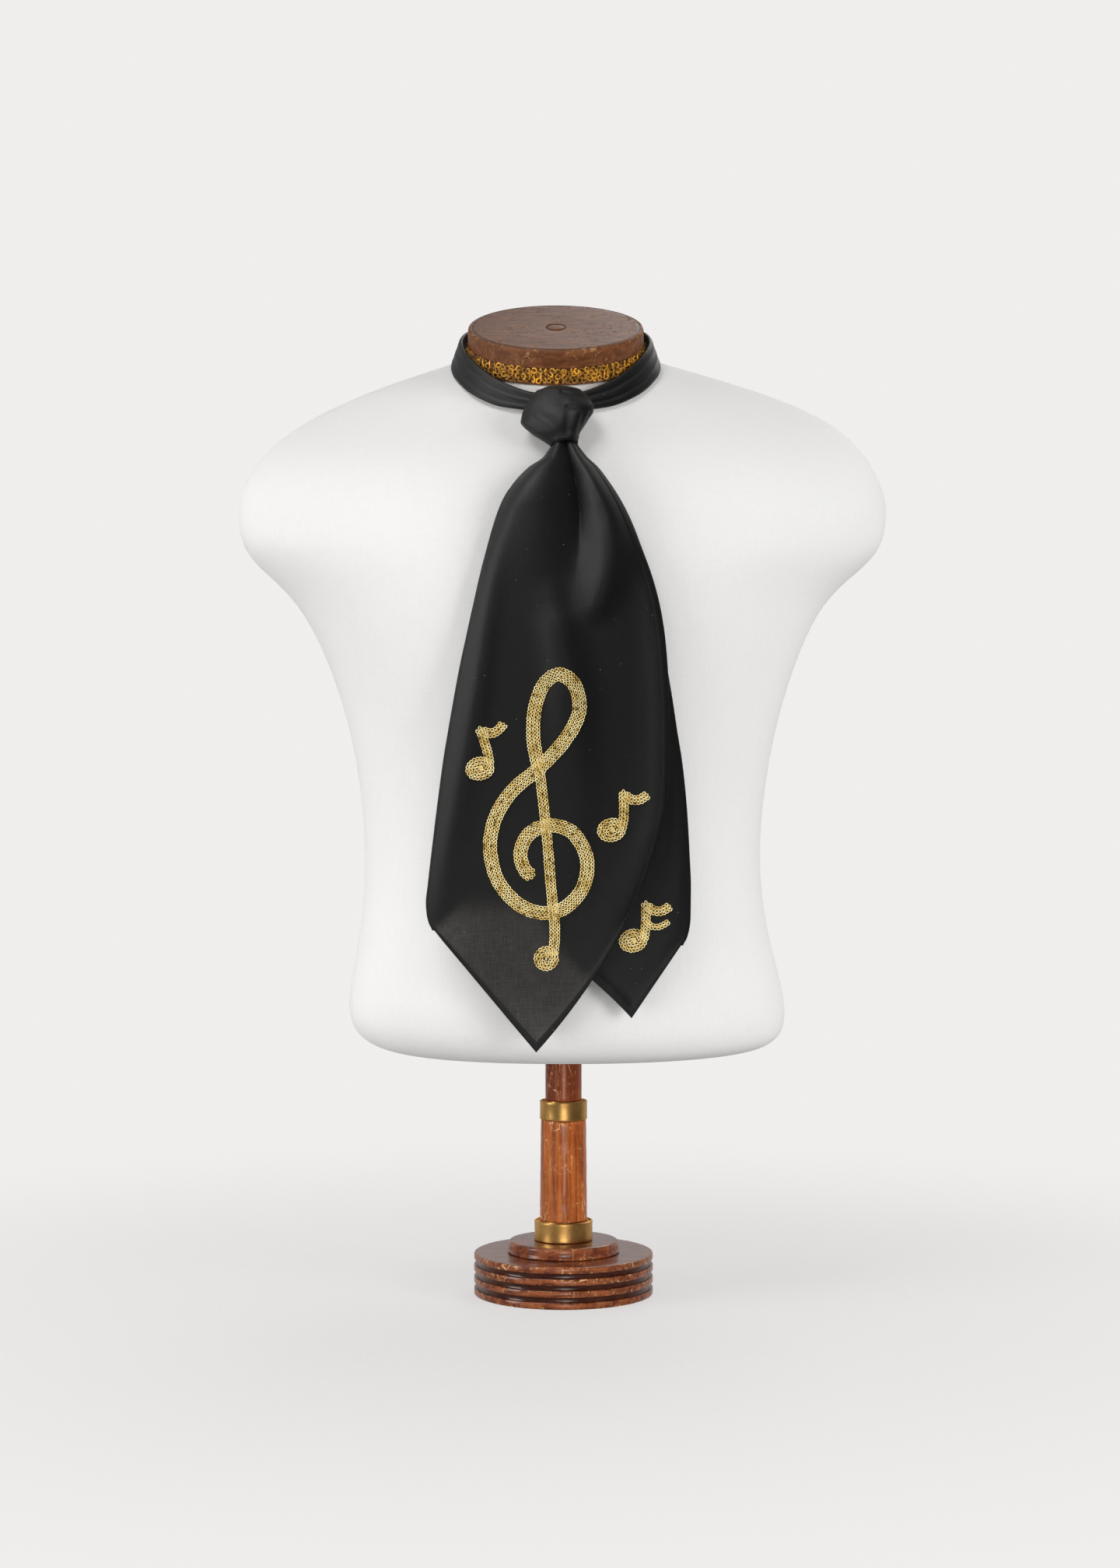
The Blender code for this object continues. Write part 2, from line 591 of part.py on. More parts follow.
class Blade:
    """A hanging end of the cravat as rows of points from the knot to the point's hem.

    Each row starts at the free edge of the margin turned under, goes round the fold, and
    crosses the front to the far hem. mirror is 1 with the fold on the left, -1 on the
    right.
    """

    def __init__(self, edges, depth, corners, tip, bow, mirror, columns, tip_column, rows):
        self.edges = edges
        self.depth = depth
        self.fold_corner, self.hem_corner = corners
        self.tip_x, self.tip_z = tip
        self.bow = bow
        self.mirror = mirror
        self.columns = columns      # across the front, without the hem
        self.tip_column = tip_column
        self.rows = rows
        self.flap_columns = 5
        self.fold_columns = 3

    def side_x(self, z, which):
        left, right = self.edges.at(z, "left"), self.edges.at(z, "right")
        fold, hem = (left, right) if self.mirror > 0 else (right, left)
        return fold if which == "fold" else hem

    def fractions(self, width):
        """Where the columns lie, from the fold at 0 to the hemmed edge at 1."""
        hem = min(HEM_WIDTH, 0.05 * width) / width
        inner = [(1.0 - hem) * j / self.columns for j in range(self.columns + 1)]
        return inner + [1.0]

    def row(self, v, rise=0.0):
        """Points of the row at v, from 0 in the knot to 1 along the point's edge."""
        fold_z = BLADE_TOP + (self.fold_corner - BLADE_TOP) * v + rise
        hem_z = BLADE_TOP + (self.hem_corner - BLADE_TOP) * v + 1.25 * rise
        radius = FOLD_RADIUS * min(1.0, max(0.0, (BLADE_TOP - fold_z) / 20.0 - 0.5))
        fold_x = self.side_x(fold_z, "fold") + self.mirror * radius
        hem_x = self.side_x(hem_z, "hem")
        width = abs(hem_x - fold_x)
        places = self.fractions(width)
        peak = places[self.tip_column]
        corners_at_peak = self.fold_corner + (self.hem_corner - self.fold_corner) * peak
        drop = (corners_at_peak - self.tip_z) * v**4
        shift = (self.tip_x - fold_x - (hem_x - fold_x) * peak) * v**4
        points = []
        for u in places:
            tent = u / peak if u <= peak else (1.0 - u) / (1.0 - peak)
            bow = self.mirror * self.bow * 4 * tent * (1 - tent) * v**4 if u > peak else 0.0
            x = fold_x + (hem_x - fold_x) * u + shift * tent + bow
            z = fold_z + (hem_z - fold_z) * u - drop * tent
            points.append((x, self.depth(x, z, 2 * u - 1), z))
        if fold_z > FLAP_TOP:
            return [None] * (self.flap_columns + self.fold_columns) + points
        return self.flap(v, fold_x, fold_z, width, radius) + points

    def flap(self, v, fold_x, fold_z, width, radius):
        """The margin behind the blade, from its free edge to the last point of the fold."""
        reach = self.edges.at(fold_z, "flap") - radius
        points = []
        for k in range(self.flap_columns + 1):
            away = reach * (1.0 - k / self.flap_columns)
            x = fold_x + self.mirror * away
            z = fold_z + FLAP_RISE * away * v**4
            side = 2 * away / width - 1
            step = LAYER_STEP + (2 * radius - LAYER_STEP) * math.exp(-away / 5.0)
            points.append((x, self.depth(x, z, side) + step, z))
        y = self.depth(fold_x, fold_z, -1.0) + radius
        for k in range(1, self.fold_columns):
            angle = math.pi * (1.0 - k / self.fold_columns)
            x = fold_x - self.mirror * radius * math.sin(angle)
            points.append((x, y - radius * math.cos(angle), fold_z))
        return points

    def grid(self):
        steps = [(i / self.rows) ** 1.35 for i in range(self.rows)]
        rows = [self.row(v) for v in steps]
        rows.append(self.row(1.0, rise=1.5 * HEM_WIDTH))
        rows.append(self.row(1.0))
        return rows


def cloth_sheet(name, rows, mirror, finish):
    """An open sheet over rows of points, thickened into a wall that is fuller at its hems."""
    index = {}
    points = []
    for i, row in enumerate(rows):
        for j, point in enumerate(row):
            if point is not None:
                index[i, j] = len(points)
                points.append(point)
    faces = []
    for i in range(len(rows) - 1):
        for j in range(len(rows[0]) - 1):
            corners = [(i, j), (i + 1, j), (i + 1, j + 1), (i, j + 1)]
            if all(corner in index for corner in corners):
                face = [index[corner] for corner in corners]
                faces.append(face if mirror > 0 else face[::-1])
    thing = add_object(name, mesh_of(name, points, faces), finish, 60.0)
    last_row, last_column = len(rows) - 1, len(rows[0]) - 1
    hem = thing.vertex_groups.new(name="hem")
    for (i, j), vertex in index.items():
        hemmed = i >= last_row - 1 or j >= last_column - 1
        hem.add([vertex], 1.0 if hemmed else 0.0, "REPLACE")
    wall = thing.modifiers.new("Cloth", "SOLIDIFY")
    wall.thickness = HEM * MM
    wall.offset = 0.0
    wall.vertex_group = "hem"
    wall.thickness_vertex_group = CLOTH / HEM
    return thing


def blades(finish):
    front = Blade(
        FRONT_EDGES,
        front_y,
        (FRONT_CORNER_LEFT, FRONT_CORNER_RIGHT),
        FRONT_TIP,
        FRONT_HEM_BOW,
        mirror=1,
        columns=22,
        tip_column=12,
        rows=30,
    )
    cloth_sheet("front_blade", front.grid(), 1, finish)
    back = Blade(
        BACK_EDGES,
        lambda x, z, side: back_y(x, z, -side),
        (BACK_CORNER_RIGHT, BACK_CORNER_LEFT),
        BACK_TIP,
        BACK_HEM_BOW,
        mirror=-1,
        columns=16,
        tip_column=4,
        rows=24,
    )
    cloth_sheet("back_blade", back.grid(), -1, finish)


# ---------------------------------------------------------------- the knot and the band
def knot_ring(level, inset=0.0, rise=0.0):
    row = {name: KNOT.at(level, name) for name in KNOT.columns[1:]}
    ring = []
    for k in range(KNOT_COLUMNS):
        angle = 2 * math.pi * k / KNOT_COLUMNS
        across, along = math.cos(angle), math.sin(angle)
        x = row["x"] + (row["half_width"] - inset) * across
        y = row["y"] + (row["half_depth"] - inset) * along
        z = row["z"] + rise + row["roll"] * across + row["lift"] * max(0.0, -along) ** 1.5
        ring.append((x, y, z))
    return ring


def knot_wrap(finish):
    last = len(KNOT.rows) - 1
    rings = [knot_ring(last * i / (KNOT_RINGS - 1)) for i in range(KNOT_RINGS)]
    thing = loft("knot_wrap", rings, finish, closed_ends=False)
    wall = thing.modifiers.new("Cloth", "SOLIDIFY")
    wall.thickness = WRAP_WALL * MM
    wall.offset = -1.0
    return thing


def knot_turn(finish):
    """The turn inside the wrap: full at its waist, and a low hump over the rim."""
    last = len(KNOT.rows) - 1
    rings = []
    for i in range(TURN_RINGS):
        level = TURN_BOTTOM_RING + (last - TURN_BOTTOM_RING) * i / (TURN_RINGS - 1)
        rings.append(knot_ring(level, inset=TURN_CLEAR))
    for share in TURN_CROWN_RINGS:
        inset = TURN_CLEAR + TURN_CROWN_INSET * (1.0 - math.sqrt(1.0 - 0.8 * share * share))
        rings.append(knot_ring(last, inset=inset, rise=TURN_CROWN * share))
    return loft("knot_turn", rings, finish)


def neck_band(finish):
    """The folded band: a flat strip between two edge curves, from one side of the knot
    round the back of the neck to the other."""
    half = 0.5 * BAND_WALL
    rings = []
    for i in range(BAND_STEPS + 1):
        turn = BAND_FRONT_ANGLE + (360.0 - 2 * BAND_FRONT_ANGLE) * i / BAND_STEPS
        angle = min(turn, 360.0 - turn)
        top = (BAND.at(angle, "top_radius"), BAND.at(angle, "top_z"))
        foot = (BAND.at(angle, "foot_radius"), BAND.at(angle, "foot_z"))
        outward = (math.sin(math.radians(turn)), -math.cos(math.radians(turn)))
        run, fall = foot[0] - top[0], foot[1] - top[1]
        length = math.hypot(run, fall)
        across = (-fall / length, run / length)
        along = (run / length, fall / length)
        section = []
        corner = 0.5 * half
        for down, out in (
            (0.0, corner),
            (0.0, 2 * half - corner),
            (corner, 2 * half),
            (length - corner, 2 * half),
            (length, 2 * half - corner),
            (length, corner),
            (length - corner, 0.0),
            (corner, 0.0),
        ):
            radius = top[0] + along[0] * down + across[0] * out
            z = top[1] + along[1] * down + across[1] * out
            section.append((NECK_X + radius * outward[0], BAND_MIDDLE_Y + radius * outward[1], z))
        rings.append(section)
    return loft("neck_band", rings, finish)


# ---------------------------------------------------------------- build
clear_scene()
collection = bpy.data.collections.new("cravat_on_dress_form")
bpy.context.scene.collection.children.link(collection)

black_cloth = material("black_cloth", (0.012, 0.011, 0.012), 0.85)
linen = material("linen_cover", (0.78, 0.77, 0.74), 0.9)
stained_wood = material("stained_wood", (0.21, 0.055, 0.025), 0.4)
dark_wood = material("dark_wood", (0.09, 0.045, 0.035), 0.55)
aged_brass = material("aged_brass", (0.45, 0.28, 0.09), 0.35, 1.0)
gold_gimp = material("gold_gimp", (0.55, 0.33, 0.05), 0.6)

stand(stained_wood, aged_brass)
form_torso(linen)
neck_stack(dark_wood, dark_wood, gold_gimp)
blades(black_cloth)
knot_wrap(black_cloth)
knot_turn(black_cloth)
neck_band(black_cloth)
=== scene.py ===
# %% [markdown]
# # A cravat tied on a dress form
#
# The cravat is one long strip of fine black cloth with pointed ends. It goes round the
# neck of a limbless form, ties in one loose turn at the throat and hangs in two blades,
# the wider one in front. Gold chain stitch makes a treble clef and three notes on it.
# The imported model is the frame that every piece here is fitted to. Each cloth piece is
# made again as a thinner and finer shell, at the same place as the solid it stands for.

# %% Load the frame
import math
import random
from dataclasses import dataclass

import bmesh
import bpy
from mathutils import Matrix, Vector, noise
from mathutils.bvhtree import BVHTree


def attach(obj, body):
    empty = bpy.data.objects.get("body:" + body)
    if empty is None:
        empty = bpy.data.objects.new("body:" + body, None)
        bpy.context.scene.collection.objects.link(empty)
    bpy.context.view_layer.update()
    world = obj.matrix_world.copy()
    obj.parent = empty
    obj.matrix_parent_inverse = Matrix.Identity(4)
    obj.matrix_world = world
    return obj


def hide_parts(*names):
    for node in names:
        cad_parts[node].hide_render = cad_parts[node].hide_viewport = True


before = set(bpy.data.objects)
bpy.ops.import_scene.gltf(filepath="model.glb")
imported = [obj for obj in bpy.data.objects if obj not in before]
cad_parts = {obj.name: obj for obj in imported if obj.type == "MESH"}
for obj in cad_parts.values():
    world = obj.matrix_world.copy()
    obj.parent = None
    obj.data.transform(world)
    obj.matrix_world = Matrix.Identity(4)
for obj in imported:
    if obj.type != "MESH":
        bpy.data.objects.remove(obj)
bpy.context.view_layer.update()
print("pieces in the frame:", ", ".join(sorted(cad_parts)))

MM = 0.001

# %% [markdown]
# ## The view
#
# A camera's place can be worked out from a picture: the horizon is the row where level
# surfaces turn edge-on, and the distance shows in how much the near edge of the round
# base dips below its middle. Here the camera is level, at the height of the lower chest,
# and a small shift of the lens puts the horizon on its row. Tilting the camera instead
# would make the upright pole lean.

# %% Camera
PICTURE_WIDTH, PICTURE_HEIGHT = 1440, 2016
HORIZON_ROW = 905
POLE_COLUMN = 724.5
FOCAL_LENGTH_PIXELS = 3855
CAMERA_DISTANCE = 2.1
CAMERA_HEIGHT = 0.412
SENSOR = 36

camera_data = bpy.data.cameras.new("camera")
camera_data.sensor_width = SENSOR
camera_data.lens = SENSOR * FOCAL_LENGTH_PIXELS / PICTURE_HEIGHT
camera_data.shift_x = (PICTURE_WIDTH / 2 - POLE_COLUMN) / PICTURE_HEIGHT
camera_data.shift_y = (HORIZON_ROW - PICTURE_HEIGHT / 2) / PICTURE_HEIGHT
camera = bpy.data.objects.new("camera", camera_data)
camera.location = (0, -CAMERA_DISTANCE, CAMERA_HEIGHT)
camera.rotation_euler = (math.radians(90), 0, 0)
bpy.context.scene.collection.objects.link(camera)
bpy.context.scene.camera = camera
bpy.context.scene.view_settings.view_transform = "Standard"
print(f"lens {camera_data.lens:.1f} mm, {CAMERA_DISTANCE} m in front")

# %% [markdown]
# ## Writing materials in a few words
#
# A finish is a small network: noise and waves make masks, and masks mix colours and
# drive roughness and bump. The helpers below only save typing. `Web` adds nodes to any
# network, `Finish` is the network of one material, and `Group` is one that several share.

# %% Node helpers
class Web:
    """A network of nodes, with short ways to add to it."""

    def __init__(self, tree):
        self.tree = tree

    def node(self, kind, sockets=None, **settings):
        """A node of that kind. Each socket, by name or place, gets a value or a link."""
        made = self.tree.nodes.new("ShaderNode" + kind)
        for name, value in settings.items():
            setattr(made, name, value)
        for name, value in (sockets or {}).items():
            if isinstance(value, bpy.types.NodeSocket):
                self.tree.links.new(value, made.inputs[name])
            else:
                made.inputs[name].default_value = value
        return made

    def ramp(self, source, low, high, low_value=0, high_value=1):
        """A value that goes smoothly between two levels as the source goes from low to high."""
        sockets = {"Value": source, "From Min": low, "From Max": high, "To Min": low_value}
        sockets["To Max"] = high_value
        return self.node("MapRange", sockets, interpolation_type="SMOOTHSTEP").outputs["Result"]

    def mix(self, mask, first, second):
        """Two colours, or sockets that carry them, mixed by a mask."""
        first, second = ((*c, 1) if isinstance(c, tuple) else c for c in (first, second))
        return self.node("Mix", {0: mask, 6: first, 7: second}, data_type="RGBA").outputs[2]

    def math(self, operation, first, second):
        return self.node("Math", {0: first, 1: second}, operation=operation).outputs[0]

    def times(self, first, second):
        return self.math("MULTIPLY", first, second)

    def plus(self, first, second):
        return self.math("ADD", first, second)

    def stretched(self, place, factors):
        return self.node("VectorMath", {0: place, 1: factors}, operation="MULTIPLY").outputs["Vector"]

    def noise(self, place, scale, detail=2, roughness=0.5, distortion=0):
        sockets = {"Scale": scale, "Detail": detail, "Roughness": roughness, "Distortion": distortion}
        return self.node("TexNoise", {"Vector": place, **sockets}).outputs["Fac"]


class Finish(Web):
    """A material whose shader stays here, with its fixed values set on its own sockets."""

    def __init__(self, name, fixed):
        self.material = bpy.data.materials.new(name)
        self.material.use_nodes = True
        super().__init__(self.material.node_tree)
        self.shader = self.tree.nodes["Principled BSDF"]
        for socket, value in fixed.items():
            self.shader.inputs[socket].default_value = value
        self.place = self.node("TexCoord").outputs["Object"]

    def set(self, socket, source):
        self.tree.links.new(source, self.shader.inputs[socket])

    def bump(self, height, distance, strength=1):
        made = self.node("Bump", {"Strength": strength, "Distance": distance, "Height": height})
        self.set("Normal", made.outputs["Normal"])

    def painted(self, name):
        """The value painted on the mesh under that name."""
        return self.node("Attribute", attribute_name=name).outputs["Fac"]


class Group(Web):
    """A shader node group with a place, named numbers and named outputs."""

    def __init__(self, name, numbers, outputs):
        super().__init__(bpy.data.node_groups.new(name, "ShaderNodeTree"))
        new_socket = self.tree.interface.new_socket
        new_socket("Place", in_out="INPUT", socket_type="NodeSocketVector")
        for socket, value in numbers.items():
            new_socket(socket, in_out="INPUT", socket_type="NodeSocketFloat").default_value = value
        for socket in outputs:
            new_socket(socket, in_out="OUTPUT", socket_type="NodeSocketFloat")
        self.inputs = self.tree.nodes.new("NodeGroupInput").outputs
        self.outputs = self.tree.nodes.new("NodeGroupOutput").inputs
        self.place = self.inputs["Place"]

    def put_out(self, name, source):
        self.tree.links.new(source, self.outputs[name])

    def used_in(self, finish, numbers):
        """The group placed in a material, with this material's own numbers."""
        return finish.node("Group", {"Place": finish.place, **numbers}, node_tree=self.tree).outputs


print("helpers ready")

# %% [markdown]
# ## Light and floor
#
# The picture is a product shot: white all round, so that a white form is bright to its
# edges and black cloth shows its folds only by a faint gloss. Large soft lamps do that.
# The world is pale where the camera sees it, and dimmer as a light, so that the folds
# keep some shade. The floor is a wide disc that fades out, so that no horizon shows.

# %% Lamps and world
PALE = (0.871, 0.857, 0.848, 1)
DARK_SIDE = 0.07             # how bright the room is in front and at the sides
BRIGHT_BACK = 0.50           # and behind the form, where the white sweep is
FORM_MIDDLE = (0, 0, 0.42)

world = bpy.data.worlds.new("studio")
world.use_nodes = True
world.node_tree.nodes.clear()
bpy.context.scene.world = world
sky = Web(world.node_tree)
way = sky.node("SeparateXYZ", {0: sky.node("TexCoord").outputs["Generated"]})
room = sky.ramp(way.outputs["Y"], -0.1, 0.75, DARK_SIDE, BRIGHT_BACK)
lit = sky.node("Background", {"Color": (1, 0.995, 0.985, 1), "Strength": room})
seen = sky.node("Background", {"Color": PALE})
by_camera = sky.node("LightPath").outputs["Is Camera Ray"]
chosen = sky.node("MixShader", {0: by_camera, 1: lit.outputs[0], 2: seen.outputs[0]})
sky.node("OutputWorld", {"Surface": chosen.outputs[0]})


def soft_lamp(name, place, size, watts, aim=FORM_MIDDLE, shines=True, fills=True, spread=180):
    """A large square of light. One that doesn't shine gives no highlights, like a wall,
    and one that doesn't fill gives nothing else."""
    data = bpy.data.lights.new(name, "AREA")
    data.shape = "RECTANGLE"
    data.size, data.size_y = size
    data.energy = watts
    data.spread = math.radians(spread)
    data.color = (1, 0.99, 0.975)
    lamp = bpy.data.objects.new(name, data)
    lamp.location = place
    lamp.rotation_euler = (Vector(aim) - Vector(place)).to_track_quat("-Z", "Y").to_euler()
    lamp.visible_camera = False
    lamp.visible_glossy = shines
    lamp.visible_diffuse = fills
    bpy.context.scene.collection.objects.link(lamp)


soft_lamp("top_lamp", (-0.9, -1.1, 2.6), (1.1, 1.1), 22.5)
soft_lamp("top_gloss", (-0.9, -1.1, 2.6), (1.1, 1.1), 20, fills=False)
soft_lamp("left_lamp", (-2.2, -0.9, 0.9), (0.8, 1.4), 19)
soft_lamp("front_lamp", (0.12, -2.3, 0.5), (0.30, 1.7), 2.4)
soft_lamp("stand_lamp", (0.05, -1.3, 0.02), (0.60, 0.3), 0.10, aim=(0, 0, 0.05), spread=30)
soft_lamp("right_wall", (1.9, -1.4, 0.6), (1.2, 1.6), 46, shines=False)
soft_lamp("left_wall", (-1.9, -1.4, 0), (1.4, 1.2), 25, shines=False)
soft_lamp("front_wall", (0, -2.3, 0), (2.0, 0.8), 3.5, shines=False)
soft_lamp("back_lamp", (0.6, 1.8, 1.9), (1.2, 1.2), 14)

# %% Floor
FLOOR_CLEAR = 0.10           # this far from the pole it is as clear as it gets
FLOOR_GONE = 0.80            # and here it has faded out
FLOOR_SOLID = 0.36           # a half-solid floor takes softer shadows
FLOOR_RADIUS = 1.4
FLOOR_SIDES = 96
UNDER_BASE = -0.0002


def turns(count):
    """Equal angles once round."""
    return [2 * math.pi * k / count for k in range(count)]


t = floor_finish = Finish("floor_finish", {"Roughness": 0.7, "Base Color": (0.68, 0.675, 0.665, 1)})
from_pole = t.node("VectorMath", {0: t.place}, operation="LENGTH").outputs["Value"]
t.set("Alpha", t.ramp(from_pole, FLOOR_CLEAR, FLOOR_GONE, FLOOR_SOLID, 0))

rim = [(FLOOR_RADIUS * math.cos(a), FLOOR_RADIUS * math.sin(a), UNDER_BASE) for a in turns(FLOOR_SIDES)]
floor_mesh = bpy.data.meshes.new("floor")
floor_mesh.from_pydata(rim, [], [tuple(range(FLOOR_SIDES))])
floor_mesh.materials.append(floor_finish.material)
floor = bpy.data.objects.new("floor", floor_mesh)
bpy.context.scene.collection.objects.link(floor)
print("floor", 2 * FLOOR_RADIUS, "m wide")

# %% [markdown]
# ## Effects that several finishes share
#
# Plain weave is two sets of threads at right angles. Seen from a step away the single
# threads melt together, and what stays visible is that each thread is a little thicker
# or thinner than the next: faint streaks across and down. So the group mixes two noises
# stretched along the threads with two fine waves for the threads themselves.
#
# Wear needs a mask too. Varnish chips off where things knock against it, along rims,
# in small ragged flecks. The flecks come from noise cut at a level, and a painted
# attribute on the mesh says where the rims are. Fine cracks are the edges of cells.

# %% Weave, wear and dust groups
weave = Group("plain weave", {"Thread scale": 350, "Streak scale": 900}, ("Streaks", "Threads"))
streaks, threads = [], []
for axis, along in (("X", (0.03, 0.3, 1)), ("Z", (1, 0.3, 0.03))):
    streaks.append(weave.noise(weave.stretched(weave.place, along), weave.inputs["Streak scale"], 3, 0.6))
    wave = {"Vector": weave.place, "Scale": weave.inputs["Thread scale"], "Distortion": 0.6}
    wave = weave.node("TexWave", {**wave, "Detail": 1, "Detail Scale": 1.5}, bands_direction=axis)
    threads.append(wave.outputs["Fac"])
for name, pair in (("Streaks", streaks), ("Threads", threads)):
    weave.put_out(name, weave.times(weave.plus(*pair), 0.5))

wear = Group("chipped varnish", {"Chip scale": 260, "Rim": 0, "Amount": 0.5}, ("Chips", "Rub"))
chips = wear.noise(wear.place, wear.inputs["Chip scale"], 4, 0.65, 0.6)
patches = wear.noise(wear.place, 38, 3)
level = wear.plus(chips, wear.times(wear.times(wear.inputs["Rim"], wear.inputs["Amount"]), 0.28))
level = wear.plus(level, wear.times(patches, 0.22))
cells = {"Vector": wear.stretched(wear.place, (1, 1, 0.3)), "Scale": 120}
cracks = wear.node("TexVoronoi", cells, feature="DISTANCE_TO_EDGE").outputs["Distance"]
cracks = wear.ramp(cracks, 0.006, 0.022, 1, 0)
for mask, low, high in ((patches, 0.50, 0.60), (chips, 0.42, 0.52), (wear.inputs["Rim"], -0.5, 0.1)):
    cracks = wear.times(cracks, wear.ramp(mask, low, high))
wear.put_out("Chips", wear.math("MAXIMUM", wear.ramp(level, 0.80, 0.86), cracks))
wear.put_out("Rub", wear.ramp(level, 0.62, 0.85))

dust = Group("lint and dust", {"Speck scale": 190}, ("Specks",))
cells = dust.node("TexVoronoi", {"Vector": dust.place, "Scale": dust.inputs["Speck scale"]}).outputs
pick = dust.node("SeparateColor", {"Color": cells["Color"]}).outputs["Red"]
small = dust.ramp(cells["Distance"], 0.06, 0.12, 1, 0)
dust.put_out("Specks", dust.times(small, dust.ramp(pick, 0.92, 0.98)))
print("groups:", [g.name for g in bpy.data.node_groups])

# %% [markdown]
# ## The finishes
#
# The black cloth is matt with a soft sheen at grazing angles, from the short fibres
# that stand up. One layer of it is thin enough for the pale form to shine through, and
# that light is painted into its colour: an attribute tells the material where only one
# layer hangs and how much shows, and there it is a painted warm dark grey whose weave shows.

# %% Black cloth, its thread, and linen
sheen = {"Sheen Weight": 0.03, "Sheen Roughness": 0.4, "Sheen Tint": (0.75, 0.76, 0.80, 1)}
t = black_cloth = Finish("black_cloth", {"Roughness": 0.52, "Specular IOR Level": 0.47, **sheen})
cloth_weave = weave.used_in(t, {"Thread scale": 520, "Streak scale": 3200})
streaks = t.ramp(cloth_weave["Streaks"], 0.36, 0.64)
doubled = t.mix(streaks, (0.0030, 0.0029, 0.0030), (0.0052, 0.0050, 0.0053))
# Painted see-through: where one layer hangs, the light of the pale form behind it is painted in as a warm
# dark grey.
single = t.mix(streaks, (0.017, 0.016, 0.0145), (0.054, 0.051, 0.0465))
colour = t.mix(t.painted("painted_see_through"), doubled, single)
specks = t.times(dust.used_in(t, {"Speck scale": 290})["Specks"], 0.55)
t.set("Base Color", t.mix(specks, colour, (0.30, 0.30, 0.31)))
t.bump(t.plus(t.times(cloth_weave["Threads"], 0.5), t.times(streaks, 0.5)), 0.00010, 0.5)

t = black_thread = Finish("black_thread", {"Roughness": 0.5, "Sheen Weight": 0.2})
twist = t.noise(t.place, 2500)
t.set("Base Color", t.mix(twist, (0.004, 0.004, 0.005), (0.012, 0.011, 0.012)))
t.bump(twist, 0.0001)

t = linen = Finish("linen_cover", {"Roughness": 0.85, "Specular IOR Level": 0.25, "Sheen Weight": 0.12})
linen_weave = weave.used_in(t, {"Thread scale": 420, "Streak scale": 1500})
streaks = t.ramp(linen_weave["Streaks"], 0.3, 0.7)
clouds = t.ramp(t.noise(t.place, 9), 0.45, 0.8, 0, 0.35)
fresh = t.mix(streaks, (0.80, 0.80, 0.797), (0.83, 0.83, 0.828))
t.set("Base Color", t.mix(clouds, fresh, (0.79, 0.786, 0.775)))
t.bump(t.plus(t.times(linen_weave["Threads"], 0.4), t.times(streaks, 0.6)), 0.00018, 0.6)
print("cloth finishes ready")

# %% [markdown]
# The embroidery thread is a shiny gold yarn, and each stitch catches the light on its
# own, so every stitch carries a random painted shade, and of each link one strand is
# painted lighter and the other darker. The braid round the neck block is a looped yarn
# of a deeper, orange gold.

# %% Gold yarns
shine = {"Roughness": 0.30, "Specular IOR Level": 1, "Specular Tint": (1, 0.80, 0.42, 1)}
t = gold_thread = Finish("gold_thread", shine)
fibres = t.noise(t.place, 1800, 3)
shade = t.plus(t.times(t.painted("shade"), 0.75), t.times(fibres, 0.3))
deep = t.mix(t.ramp(shade, 0.05, 0.55), (0.20, 0.11, 0.018), (0.84, 0.60, 0.18))
t.set("Base Color", t.mix(t.ramp(shade, 0.5, 1), deep, (1, 0.90, 0.52)))
t.bump(fibres, 0.00015, 0.7)

t = gold_gimp = Finish("gold_gimp", {"Roughness": 0.6, "Sheen Weight": 0.25, "Specular IOR Level": 0.35})
fibres = t.noise(t.place, 1300, 3)
shade = t.plus(t.times(t.painted("shade"), 0.8), t.times(fibres, 0.25))
t.set("Base Color", t.mix(t.ramp(shade, 0.1, 0.95), (0.09, 0.030, 0.003), (0.95, 0.46, 0.035)))
t.bump(fibres, 0.0002, 0.8)
print("yarns ready")

# %% [markdown]
# The stand is stained wood under worn varnish. Grain runs up the pole, so its noise is
# stretched along the height, and a coat over the shader is the varnish. Chips show
# bare pale wood, and the floors of grooves are painted dark as shade. The brass is old:
# brown where it has tarnished, bright where rubbed.

# %% Stained wood, neck block and brass
POLE_GRAIN = (260, 260, 14)
BASE_GRAIN = (40, 240, 240)
BLOCK_GRAIN = (60, 240, 240)


def stained_wood(name, dark, warm, pale, grain_scale, chip_amount, roughness=0.34, coat=0.3):
    t = Finish(name, {"Coat Weight": coat, "Coat Roughness": 0.07, "Specular IOR Level": 0.25})
    figure = t.noise(t.stretched(t.place, grain_scale), 1, 5, 0.62, 0.35)
    wood = t.mix(t.ramp(figure, 0.34, 0.66), dark, warm)
    rim = t.painted("rim")
    worn = wear.used_in(t, {"Amount": chip_amount, "Rim": rim})
    rubbed = t.mix(t.times(worn["Rub"], 0.3), wood, tuple(0.7 * w + 0.3 * p for w, p in zip(warm, pale)))
    # A strongly negative rim value marks a groove: there the colour is darkened towards a quarter of the
    # dark stain, painted shade.
    sunk = t.ramp(rim, -1.6, -0.9, 0.85, 0)
    groove_shaded = t.mix(sunk, rubbed, tuple(0.25 * d for d in dark))
    t.set("Base Color", t.mix(worn["Chips"], groove_shaded, pale))
    t.set("Roughness", t.ramp(worn["Rub"], 0, 1, roughness, roughness + 0.35))
    t.bump(t.math("SUBTRACT", t.times(figure, 0.2), worn["Chips"]), 0.00015, 0.35)
    return t


